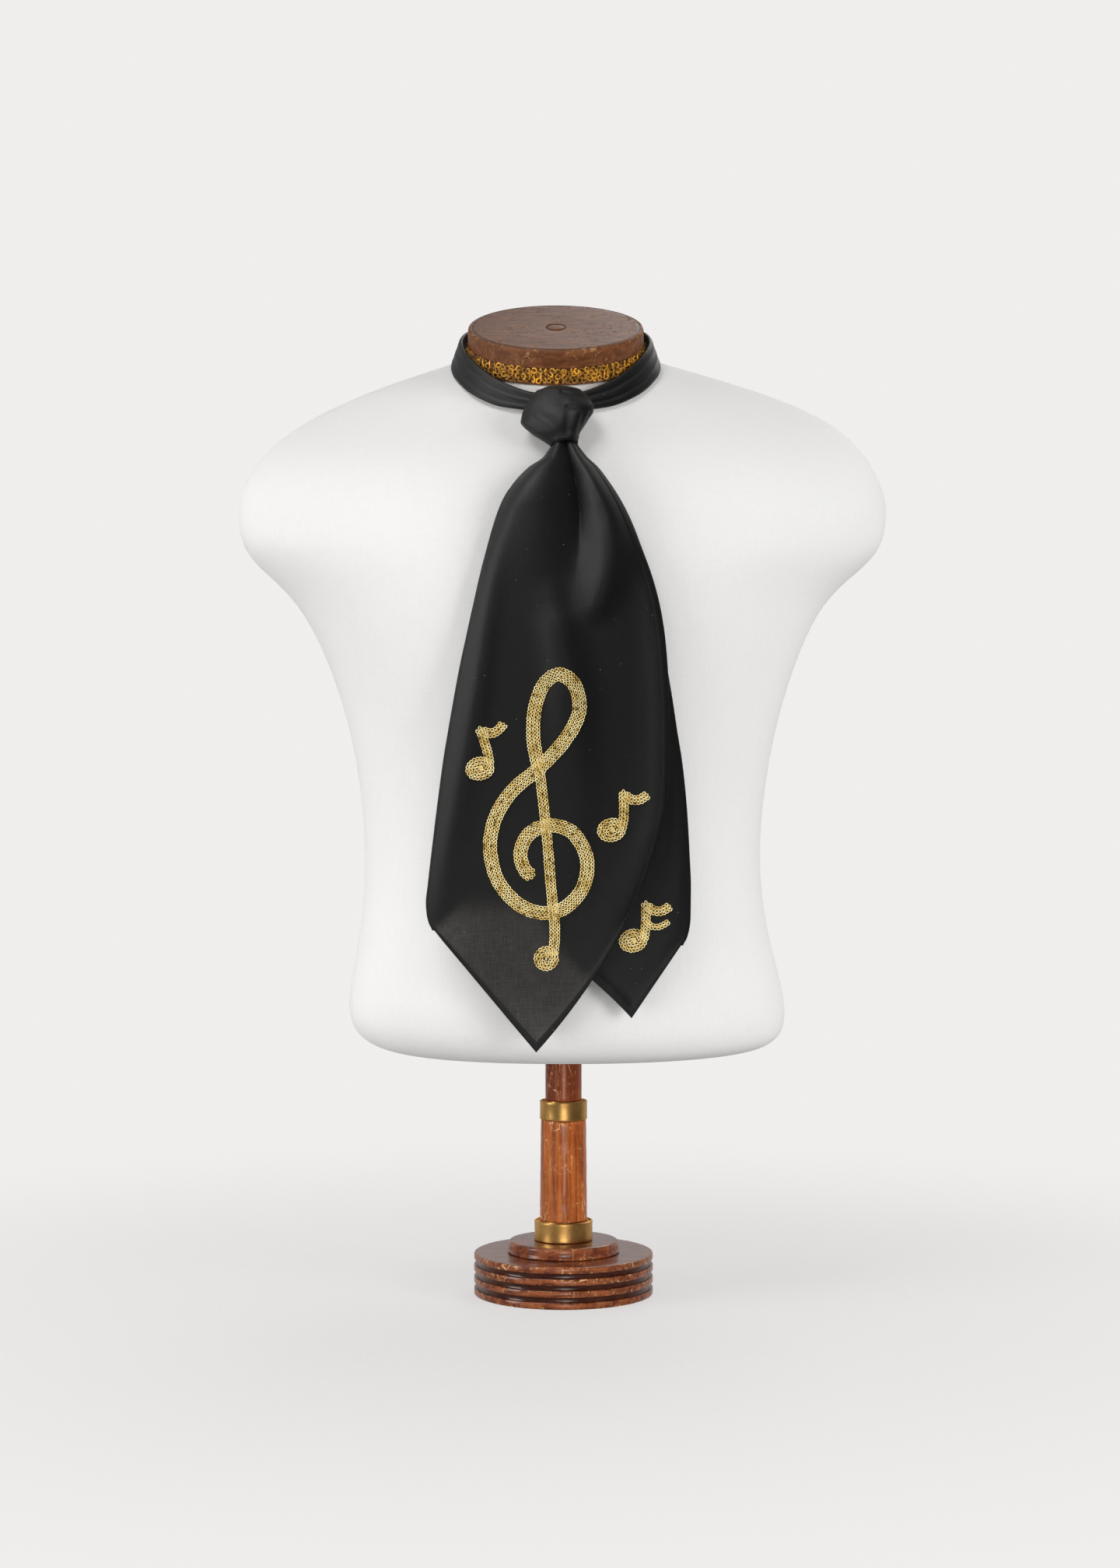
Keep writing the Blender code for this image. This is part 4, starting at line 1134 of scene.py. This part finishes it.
wrap_rows = [knot_ring(level, WRAP_INSET - out, True) for level, out in RIM_ROLL]
wrap_rows += [knot_ring(level, WRAP_INSET, True) for level in levels(WRAP_FOOT, FACE_ROWS)]
wrap_rows += [top_ring(TOP_RISE * i / OVER_ROWS) for i in range(1, OVER_ROWS + 1)]
wrap = skin("cravat_knot", wrap_rows, black_cloth, around=True)
wall = wrap.modifiers.new("Cloth", "SOLIDIFY")
wall.thickness = WRAP_WALL * MM
wall.offset = 1
fit(wrap, "black_cloth", "knot_wrap")

turn_rows = [knot_ring(level, TURN_CLEAR) for level in levels(TURN_BOTTOM, TURN_ROWS)]
turn = skin("cravat_turn", turn_rows, black_cloth, around=True, ends=True)
fit(turn, "black_cloth", "knot_turn")

# %% [markdown]
# ## The band round the neck
#
# Round the neck the strip is folded lengthwise into a narrow band. Its outside shows
# two long soft pleats, and its edges are rounded folds.

# %% Neck band
BAND = Table("""
angle top_radius top_z foot_radius foot_z
0 62.3 622.5 67.8 610
10 62.5 622.8 68 610.4
30 63.2 629.4 70 613.4
50 64.6 641.6 73 622.9
70 65 655.2 73 636.4
90 64.9 666.4 71.4 648.1
115 64.5 676.6 70.8 658.9
145 63.6 683.6 71.4 664.5
180 62.9 686.4 72.6 665.4
""")
NECK_X = -5.4
BAND_MIDDLE_Y = -1
BAND_FRONT_ANGLE = 10
BAND_STEPS = 220
BAND_WALL = 2.4
# Down the band's outside and up its inside: the share of its height, and how far out.
BAND_OUTSIDE = (
    (0, 0.45), (0.03, 0.85), (0.10, 1), (0.24, 0.98), (0.30, 0.72), (0.33, 0.70), (0.36, 0.95), (0.50, 1),
    (0.62, 0.96), (0.66, 0.68), (0.69, 0.68), (0.72, 0.92), (0.86, 1), (0.95, 0.9), (1, 0.5),
)
BAND_INSIDE = ((1, 0.25), (0.97, 0.04), (0.5, 0), (0.03, 0.04), (0, 0.2))


def band_section(turn):
    top_radius, top_z, foot_radius, foot_z = BAND.row(min(turn, 360 - turn))
    outward = (math.sin(math.radians(turn)), -math.cos(math.radians(turn)))
    run, fall = foot_radius - top_radius, foot_z - top_z
    length = math.hypot(run, fall)
    across, up = -fall / length, run / length
    drift = 0.035 * math.sin(math.radians(turn) * 3 + 0.6)
    line = [(down + (drift if 0.2 < down < 0.8 else 0), out) for down, out in BAND_OUTSIDE]
    section = []
    for down, out in (*line, *BAND_INSIDE):
        radius = top_radius + run * down + across * out * BAND_WALL
        z = top_z + fall * down + up * out * BAND_WALL
        section.append((NECK_X + radius * outward[0], BAND_MIDDLE_Y + radius * outward[1], z))
    return section


span = 360 - 2 * BAND_FRONT_ANGLE
band_rows = [band_section(BAND_FRONT_ANGLE + span * i / BAND_STEPS) for i in range(BAND_STEPS + 1)]
band = skin("cravat_neckband", band_rows, black_cloth, around=True, ends=True, sharp=75)
fit(band, "black_cloth", "neck_band")

# %% [markdown]
# ## The strip
#
# The strip is 190 mm wide and 1.46 m long. The knot and the band are stretches of it
# folded lengthwise: what shows of each is one outer layer, and that is the size given.

# %% [markdown]
# ## Chain stitch
#
# Chain stitch is a row of loops, each one starting inside the end of the last. Rows lie
# side by side until they fill the shape. A link is two strands that bulge apart and
# meet again. The designs are ordinary music signs, set out from a few sizes: the clef
# on a grid of quarter staff spaces, the notes from a round head, a leaning stem and
# one or two flags. Each link is dropped onto the cloth along a ray from the front.

# %% Links of chain
LINK = 2.3
ROW_PITCH = 2.35
RING_PITCH = ROW_PITCH * 0.92
LINK_BULGE = 0.88
STRAND = 0.30
CROSSING = 1.5               # a link this close to an earlier stroke's link lies on it
OVER = 0.65                  # and is this much higher
SHADE = 0.74                 # of an average link
SHADE_DRIFT = 0.25           # how far it wanders from place to place
DRIFT_SCALE = 0.09
SHADE_SPREAD = 0.28          # and from link to link
# Painted light: of a link's two strands one is painted lighter and the other darker, as if one caught the
# light.
PAINTED_STRAND_LIGHT = 0.16         # a link's two strands are this much darker and lighter
TILT = 0.10
# Along half a link: how far on, how far from the middle line, how high over the cloth,
# and how full the strand is.
LINK_SHAPE = (
    (-0.02, 0.05, 0.10, 0.7), (0.28, 0.85, 0.45, 1), (0.58, 1, 0.60, 1.05),
    (0.86, 0.62, 0.50, 1), (1.10, 0.06, 0.12, 0.7),
)
LINK_RADII = [STRAND * full for _, _, _, full in LINK_SHAPE]
random.seed(7)


def held(value):
    return min(1.0, max(0.0, value))


def on_cloth(tree, x, z):
    """The cloth's outer face under a point seen from the front, and its normal."""
    hit, normal, _, _ = tree.ray_cast(Vector((x, -200, z)), BACKWARD)
    if hit is None:
        return None, None
    if normal.y > 0:
        normal = -normal
    return hit + 0.5 * CLOTH * normal, normal


def chain(strands, tree, line, earlier=()):
    """Links along a line of (x, z), a whole number of them. Returns where they lie."""
    path = [Vector((x, 0, z)) for x, z in line]
    length = sum((b - a).length for a, b in zip(path, path[1:]))
    count = max(1, round(length / LINK))
    step = length / count
    laid = []
    for start, along in spaced(path, step)[:count]:
        face, normal = on_cloth(tree, start.x, start.z)
        if face is None:
            continue
        laid.append(start)
        along = (along - along.dot(normal) * normal).normalized()
        side = along.cross(normal).normalized()
        over = OVER if any((start - other).length < CROSSING for other in earlier) else 0
        drift = SHADE_DRIFT * noise.noise(DRIFT_SCALE * start)
        shade = held(random.gauss(SHADE + drift, SHADE_SPREAD))
        tilt = random.uniform(-TILT, TILT)
        for hand in (-1, 1):
            points = []
            for share, bulge, height, _ in LINK_SHAPE:
                out = hand * bulge * LINK_BULGE + tilt * LINK * share
                points.append(face + share * step * along + out * side + (height + over) * normal)
            strands.add(points, LINK_RADII, held(shade + PAINTED_STRAND_LIGHT * hand), normal)
    return laid


def smooth_line(knots, steps=10):
    """A curve through the given points (Catmull-Rom)."""

    def between(a, b, c, d, s):
        bend, twist = 2 * a - 5 * b + 4 * c - d, 3 * b - a - 3 * c + d
        return 0.5 * (2 * b + (c - a) * s + bend * s**2 + twist * s**3)

    ends = [knots[0], *knots, knots[-1]]
    line = []
    for four in zip(ends, ends[1:], ends[2:], ends[3:]):
        line += [tuple(between(*way, i / steps) for way in zip(*four)) for i in range(steps)]
    return line + [knots[-1]]


def beside(line, away):
    """The line moved sideways."""
    moved = []
    for i, (x, z) in enumerate(line):
        x0, z0 = line[max(i - 1, 0)]
        x1, z1 = line[min(i + 1, len(line) - 1)]
        length = math.hypot(x1 - x0, z1 - z0) or 1
        moved.append((x - away * (z1 - z0) / length, z + away * (x1 - x0) / length))
    return moved


def stroke(strands, tree, line, rows, pitch=ROW_PITCH, earlier=(), start=True, end=True):
    """A band of chain rows along a curve. Where it starts or ends, the outer rows stop
    short, which rounds it."""
    laid = []
    point_step = math.dist(line[0], line[10]) / 10
    for n in range(rows):
        aside = n - (rows - 1) / 2
        cut = round(0.9 * pitch * max(0, abs(aside) - 0.4) / point_step)
        row = beside(line, pitch * aside)
        laid += chain(strands, tree, row[cut if start else 0 : len(row) - (cut if end else 0)], earlier)
    return laid


def placed(x, z, turn):
    """A way to give points from (x, z), to the right and up after a turn."""
    cos, sin = math.cos(turn), math.sin(turn)
    return lambda right, up: (x + right * cos - up * sin, z + right * sin + up * cos)


def filled_round(strands, tree, x, z, radius, tall=1, tilt=0, earlier=()):
    """Rings of chain from the rim to the middle of an oval, wide by 1 and tall by tall."""
    at = placed(x, z, tilt)
    narrow = (1 - tall) * radius
    ring = radius - STRAND - LINK_BULGE
    laid = []
    while ring > max(0.2, narrow):
        steps = max(8, int(ring * 6))
        angles = [2 * math.pi * i / steps for i in range(steps + 1)]
        oval = [at(ring * math.cos(a), (ring - narrow) * math.sin(a)) for a in angles]
        laid += chain(strands, tree, oval, earlier)
        ring -= RING_PITCH
    reach = max(0.4, ring)
    return laid + chain(strands, tree, [at(-reach, 0), at(reach, 0)], earlier)


# %% The clef
QUARTER_SPACE = 6.7
CLEF_X = -15.5               # middle of the curl, on the line that the sign names
CLEF_Z = 318
CLEF_CURL = (
    (-0.6, -3), (-1.5, -2.2), (-1.9, -0.6), (-1.1, 1.2), (0.9, 2.1), (3.2, 1.4), (4.6, -1.2), (4.2, -4),
    (2.4, -6), (0.2, -6.5), (-2.2, -5.6), (-4.2, -3.2), (-4.9, 0), (-4.3, 3), (-2.6, 5.6), (0, 7.8),
    (2.4, 10.4), (3.8, 13.2), (3.4, 15.8), (1.9, 16.9), (0.4, 15.9), (-0.5, 13.4), (-0.6, 10.4), (0, 7.4),
)
CLEF_HALFWAY = 0.83          # after this share of the curl it comes down over itself
CLEF_STEM = ((0, 7.4), (0.7, 1), (1.1, -4), (1.45, -8), (1.3, -10.6))
CLEF_DROP = (0.6, -11)
DROP_RADIUS = 8.2


def clef_points(units):
    return [(CLEF_X + QUARTER_SPACE * x, CLEF_Z + QUARTER_SPACE * z) for x, z in units]


clef = Strands(sides=4)
curl = smooth_line(clef_points(CLEF_CURL))
halfway = round(CLEF_HALFWAY * len(curl))
laid = stroke(clef, front_tree, curl[: halfway + 1], 4, end=False)
laid += stroke(clef, front_tree, curl[halfway:], 4, earlier=laid, start=False)
laid += stroke(clef, front_tree, smooth_line(clef_points(CLEF_STEM)), 3, earlier=laid)
filled_round(clef, front_tree, *clef_points([CLEF_DROP])[0], DROP_RADIUS, earlier=laid)
fit(clef.made("clef", gold_thread), "black_cloth")

# %% The notes
HEAD_RADIUS = 9.6
HEAD_TALL = 0.82
HEAD_TILT = 10
NOTE_PITCH = 2.1
NOTE_STEM = ((6.8, 0.5), (7.2, 8), (6.8, 16), (5.6, 27))
NOTE_FLAG = ((6.6, 0), (11, -2.6), (15.5, -2.8), (19.5, -0.8), (22, 1.6))
FLAG_TOP = 24
FLAG_STEP = 10.5             # a second flag hangs this much lower
FLAG_ROWS = (3, 2)


def note(name, tree, x, z, lean, flags):
    """A note with its head's middle at (x, z). lean tips its stem from upright, in degrees."""
    strands = Strands(sides=4)
    laid = filled_round(strands, tree, x, z, HEAD_RADIUS, HEAD_TALL, math.radians(HEAD_TILT))
    at = placed(x, z, math.radians(-lean))
    laid += stroke(strands, tree, smooth_line([at(*p) for p in NOTE_STEM]), 3, NOTE_PITCH, laid)
    for down in range(flags):
        top = FLAG_TOP - FLAG_STEP * down
        flag = smooth_line([at(right, top + up) for right, up in NOTE_FLAG])
        laid += stroke(strands, tree, flag, FLAG_ROWS[down], NOTE_PITCH, laid)
    return fit(strands.made(name, gold_thread), "black_cloth")


note("note_left", front_tree, -55, 369.5, -13, 1)
note("note_right", front_tree, 31.5, 329, 5, 1)
note("note_on_tail", tail_tree, 46, 255.5, 6, 2)

# %% [markdown]
# ## The form
#
# The torso's solid is already the right shape, with few faces. A subdivision surface
# over the same points rounds it off. The solid came in as triangles, so they are
# first joined into quads again, or the surface would ripple.

# %% Torso cover
JOIN_WITHIN = math.radians(60)

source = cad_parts["form_torso"].data
mesh = bpy.data.meshes.new("torso_cover")
mesh.from_pydata([v.co for v in source.vertices], [], [tuple(p.vertices) for p in source.polygons])
shape = bmesh.new()
shape.from_mesh(mesh)
bmesh.ops.remove_doubles(shape, verts=shape.verts, dist=0.00001)
bmesh.ops.join_triangles(
    shape, faces=shape.faces, angle_face_threshold=JOIN_WITHIN, angle_shape_threshold=JOIN_WITHIN
)
shape.to_mesh(mesh)
shape.free()
torso = piece_of("torso_cover", mesh, linen, 180)
rounded = torso.modifiers.new("Round", "SUBSURF")
rounded.levels = rounded.render_levels = 2
fit(torso, "linen_cover", "form_torso")

# %% [markdown]
# ## The neck block
#
# A turned wooden block closes the neck, tilted to the front. A thin bead and a gold
# braid go round it. The braid is a looped yarn, so it is made as one: a core band with
# rows of small curls over it, each turned its own way.

# %% Neck block, bead and peg
NECK_TILT = math.radians(21.4)
NECK_Y = 1.1
NECK_Z = 651.8
NECK_HALF_WIDTH = 61.4
NECK_HALF_DEPTH = 64.4
NECK_CORE = 58.5
NECK_COLUMNS = 160
PEG_RADIUS = 6.3


def neck_point(angle, offset, half_width, half_depth):
    v = half_depth * math.sin(angle)
    return (
        NECK_X + half_width * math.cos(angle),
        NECK_Y + v * math.cos(NECK_TILT) - offset * math.sin(NECK_TILT),
        NECK_Z + v * math.sin(NECK_TILT) + offset * math.cos(NECK_TILT),
    )


def neck_ring(offset, half_width, half_depth):
    return [neck_point(angle, offset, half_width, half_depth) for angle in turns(NECK_COLUMNS)]


def inset_ring(offset, inset):
    return neck_ring(offset, NECK_HALF_WIDTH - inset, NECK_HALF_DEPTH - inset)


def painted_rows(rims, columns):
    """The rim value of each row, for every place in it."""
    return {"rim": {(i, k): rim for i, rim in enumerate(rims) for k in range(columns)}}


def neck_piece(name, rings, rims, closed=True):
    paint = painted_rows(rims, NECK_COLUMNS)
    return skin(name, rings, block_wood, around=True, ends=closed, paint=paint, sharp=35)


def inset_piece(name, section, closed=True):
    """Ovals from (height above the torso, inset, how near a rim it is)."""
    rings = [inset_ring(offset, inset) for offset, inset, _ in section]
    return neck_piece(name, rings, [rim for _, _, rim in section], closed)


core = NECK_HALF_WIDTH - NECK_CORE
bead = [
    (0.3, core, 0), (0.3, 0.9, 0), (0.8, 0.3, 1), (1.35, 0.2, 1), (1.9, 0.3, 1), (2.4, 0.9, 0),
    (2.4, core, 0), (0.3, core, 0),
]
fit(inset_piece("neck_bead", bead, closed=False), "dark_wood", "neck_ring")

# Two points just inside the top rim carry rim value -1.9: a shallow groove whose fine ring line is painted
# shade.
block = [
    (0.3, core + 0.4, 0), (0.8, core, 0), (11.9, core, 0), (11.9, 0.8, 0.2), (12.5, 0.2, 0.5),
    (14, 0, 0.1), (17, -0.1, 0), (20.5, 0, 0.1), (22.6, 0.1, 0.5), (23.6, 0.3, 1), (24.3, 0.7, 1),
    (24.7, 1.3, 1), (24.85, 2.1, 0.8), (24.7, 2.4, -1.9), (24.7, 3.2, -1.9), (24.9, 3.6, 0.2),
    (24.9, 5, 0.1), (24.9, 7, 0), (24.7, 30, 0), (24.8, 53, 0), (24.7, 54.4, 0.2), (23.4, 54.8, 0),
]
fit(inset_piece("neck_block", block), "dark_wood", "neck_cap")

# The peg in the block's middle: height above the torso, and how far in from its side.
peg = ((23.7, 0), (24.4, 0), (24.75, 0.35), (24.9, 0.9))
peg_rings = [neck_ring(offset, PEG_RADIUS - inset, PEG_RADIUS - inset) for offset, inset in peg]
peg_rings.append(neck_ring(24.95, 2, 2))
fit(neck_piece("neck_peg", peg_rings, (0, 0, 0.4, 0, 0)), "dark_wood", "neck_plug")

# %% Braid
CURLS = 96
CURL_ROWS = 4
FIRST_CURLS = 3.9            # the lowest row's height above the torso
CURL_RISE = 2.1              # from one row to the next
CURL_RADIUS = 1.75
CURL_TURN = 1.75 * math.pi
CURL_POINTS = 8
YARN = 0.56
# The tape under the curls is painted dark: painted shade between and under them.
TAPE_PAINTED_SHADE = 0.12
UPWARD = Vector((0, -math.sin(NECK_TILT), math.cos(NECK_TILT)))

braid = Strands(sides=4)
for level in range(CURL_ROWS):
    for k in range(CURLS):
        angle = 2 * math.pi * (k + 0.5 * (level % 2) + random.uniform(-0.25, 0.25)) / CURLS
        offset = FIRST_CURLS + level * CURL_RISE + random.uniform(-0.5, 0.5)
        stand = random.uniform(-0.2, 0.5)
        halves = (NECK_HALF_WIDTH + stand, NECK_HALF_DEPTH + stand)
        centre, ahead = (Vector(neck_point(a, offset, *halves)) for a in (angle, angle + 0.02))
        along = (ahead - centre).normalized()
        out = along.cross(UPWARD).normalized()
        lean = random.uniform(-1.3, 1.3)
        first = (math.cos(lean) * along + math.sin(lean) * out).normalized()
        spin = random.uniform(0, 2 * math.pi)
        curl = []
        for i in range(CURL_POINTS):
            turn_by = spin + CURL_TURN * i / (CURL_POINTS - 1)
            size = CURL_RADIUS * random.uniform(0.85, 1.15)
            curl.append(centre + size * (math.cos(turn_by) * first + math.sin(turn_by) * UPWARD))
        braid.add(curl, [YARN] * CURL_POINTS, held(random.gauss(0.55, 0.22)), out)

# The tape under the curls: height above the torso, and inset.
tape = (2.75, core), (2.75, 1.2), (4, 0.4), (7, 0.2), (10.2, 0.4), (11.5, 1.2), (11.5, core), (2.75, core)
tape = [inset_ring(offset, inset) for offset, inset in tape]
for two_rings in zip(tape, tape[1:]):
    start = len(braid.points)
    _, points, faces = quads_between(two_rings, around=True)
    braid.points += [Vector(p) for p in points]
    braid.shades += [TAPE_PAINTED_SHADE] * len(points)
    braid.faces += [(start + a, start + d, start + c, start + b) for a, b, c, d in faces]
fit(braid.made("gold_braid", gold_gimp), "gold_gimp", "neck_trim")

# %% [markdown]
# ## The stand
#
# Everything here was turned on a lathe: a profile of radius and height, spun round the
# pole's axis. Each profile point also says how near a rim it is, for the chipped varnish;
# a strongly negative value marks the floor of a groove, where shade is painted dark.

# %% Turned pieces
TURN_COLUMNS = 144
RIPPLES = 3                  # radius of the circle in the noise that a ring runs on
RIPPLE_RISE = 0.12           # and how far it goes on for each mm up
SMALLEST = 0.05
MIDDLE = 0.3                 # a profile starts and ends this close to the axis


def turned(name, profile, finish, ripple):
    """A profile of (radius, height, nearness to a rim) from the foot up. ripple is how far
    the wood has moved from round."""
    rows = []
    for radius, z, _ in profile:
        ring = []
        for angle in turns(TURN_COLUMNS):
            spot = Vector((math.cos(angle) * RIPPLES, math.sin(angle) * RIPPLES, z * RIPPLE_RISE))
            r = max(SMALLEST, radius + (ripple * noise.noise(spot) if radius > 1 else 0))
            ring.append((r * math.cos(angle), r * math.sin(angle), z))
        rows.append(ring)
    paint = painted_rows([rim for _, _, rim in profile], TURN_COLUMNS)
    return skin(name, rows, finish, around=True, ends=True, paint=paint, sharp=40)


def bar(bottom, top, foot_radius, top_radius, edge, rows):
    """A plain turned bar with rounded rims, and enough rows up its side to take grain."""
    bevel = 0.3 * edge
    profile = [(MIDDLE, bottom, 0), (foot_radius - edge, bottom, 0.3)]
    profile.append((foot_radius - bevel, bottom + bevel, 0.6))
    for i in range(rows + 1):
        share = i / rows
        z = bottom + edge + (top - bottom - 2 * edge) * share
        near = max(0, 1 - min(z - bottom, top - z) / 4)
        profile.append((foot_radius + (top_radius - foot_radius) * share, z, 0.25 + 0.5 * near))
    profile.append((top_radius - bevel, top - bevel, 0.6))
    return profile + [(top_radius - edge, top, 0.3), (MIDDLE, top, 0)]


def collar(bottom, top, radius, inner):
    """A brass collar with a rolled rim and a shallow gap round what stands in it."""
    sides = (
        (MIDDLE, bottom), (radius - 0.5, bottom), (radius - 0.1, bottom + 0.3), (radius, bottom + 0.8),
        (radius - 0.15, bottom + 2.2), (radius - 0.15, top - 2.2), (radius, top - 0.9),
        (radius - 0.15, top - 0.3), (radius - 0.6, top), (radius - 1.2, top - 0.1),
        (radius - 1.5, top - 1.4), (inner + 0.3, top - 1.4), (inner, top), (MIDDLE, top),
    )
    return [(r, z, 0) for r, z in sides]


# %% Base and boss
BASE_RADIUS = 62.5
LAND = 4.3
GROOVE = 3.8
LANDS = 4
BASE_TOP = LANDS * LAND + (LANDS - 1) * GROOVE
GROOVE_RADIUS = BASE_RADIUS - 2.6
BOSS_TOP = 37

base = [(MIDDLE, 0, 0), (BASE_RADIUS - 1.2, 0, 0.3)]
for land in range(LANDS):
    z = land * (LAND + GROOVE)
    top = z + LAND
    base += [(BASE_RADIUS - 0.3, z + 0.05, 0.9), (BASE_RADIUS, z + 0.4, 1)]
    base.append((BASE_RADIUS + 0.05, z + 0.5 * LAND, 0.5))
    if land < LANDS - 1:
        base += [(BASE_RADIUS, top - 0.4, 1), (BASE_RADIUS - 0.3, top - 0.05, 0.9)]
        # The groove's floor carries negative rim values, which paint shade into the groove.
        base += [(GROOVE_RADIUS + 0.2, top, -1.6), (GROOVE_RADIUS, top + 0.3, -2)]
        base += [(GROOVE_RADIUS, top + GROOVE - 0.3, -2), (GROOVE_RADIUS + 0.2, top + GROOVE, -1.6)]
# Over the top rim: how far in from the side, how far below the top, how near a rim.
over = ((0, 1.1, 1), (0.2, 0.45, 1), (0.7, 0.08, 0.9), (1.6, 0, 0.3), (6, 0, -0.4), (20, 0, -0.5))
base += [(BASE_RADIUS - inset, BASE_TOP - down, rim) for inset, down, rim in over]
base.append((MIDDLE, BASE_TOP, 0))
fit(turned("base", base, base_wood, 0.04), "stained_wood", "base_disc")

foot = BASE_TOP + 0.3
boss = [
    (MIDDLE, foot, 0), (38.7, foot, 0.3), (39.1, foot + 0.5, 0.7), (39, foot + 1.2, 0.6),
    (38.5, foot + 1.9, 0.2), (38.3, foot + 2.8, 0), (38.4, BOSS_TOP - 3.2, 0.1),
    (38.4, BOSS_TOP - 1.6, 0.6), (38, BOSS_TOP - 0.7, 0.9), (37.2, BOSS_TOP - 0.15, 0.7),
    (36, BOSS_TOP, 0.2), (30, BOSS_TOP, -0.4), (MIDDLE, BOSS_TOP, 0),
]
fit(turned("boss", boss, base_wood, 0.03), "stained_wood", "base_boss")

# %% Pole and collars
lower_collar = turned("lower_collar", collar(37.3, 50.9, 20.4, 16.7), aged_brass, 0.02)
fit(lower_collar, "aged_brass", "collar_lower")
sleeve = turned("sleeve", bar(51.2, 121.3, 16.5, 15.8, 0.5, 30), sleeve_wood, 0.22)
fit(sleeve, "stained_wood", "pole_sleeve")
upper_collar = turned("upper_collar", collar(121.6, 134.6, 16.6, 12.9), aged_brass, 0.02)
fit(upper_collar, "aged_brass", "collar_upper")
upper_pole = turned("upper_pole", bar(134.9, 167.7, 12.7, 12.7, 0.4, 16), pole_wood, 0.08)
fit(upper_pole, "stained_wood", "pole_upper")
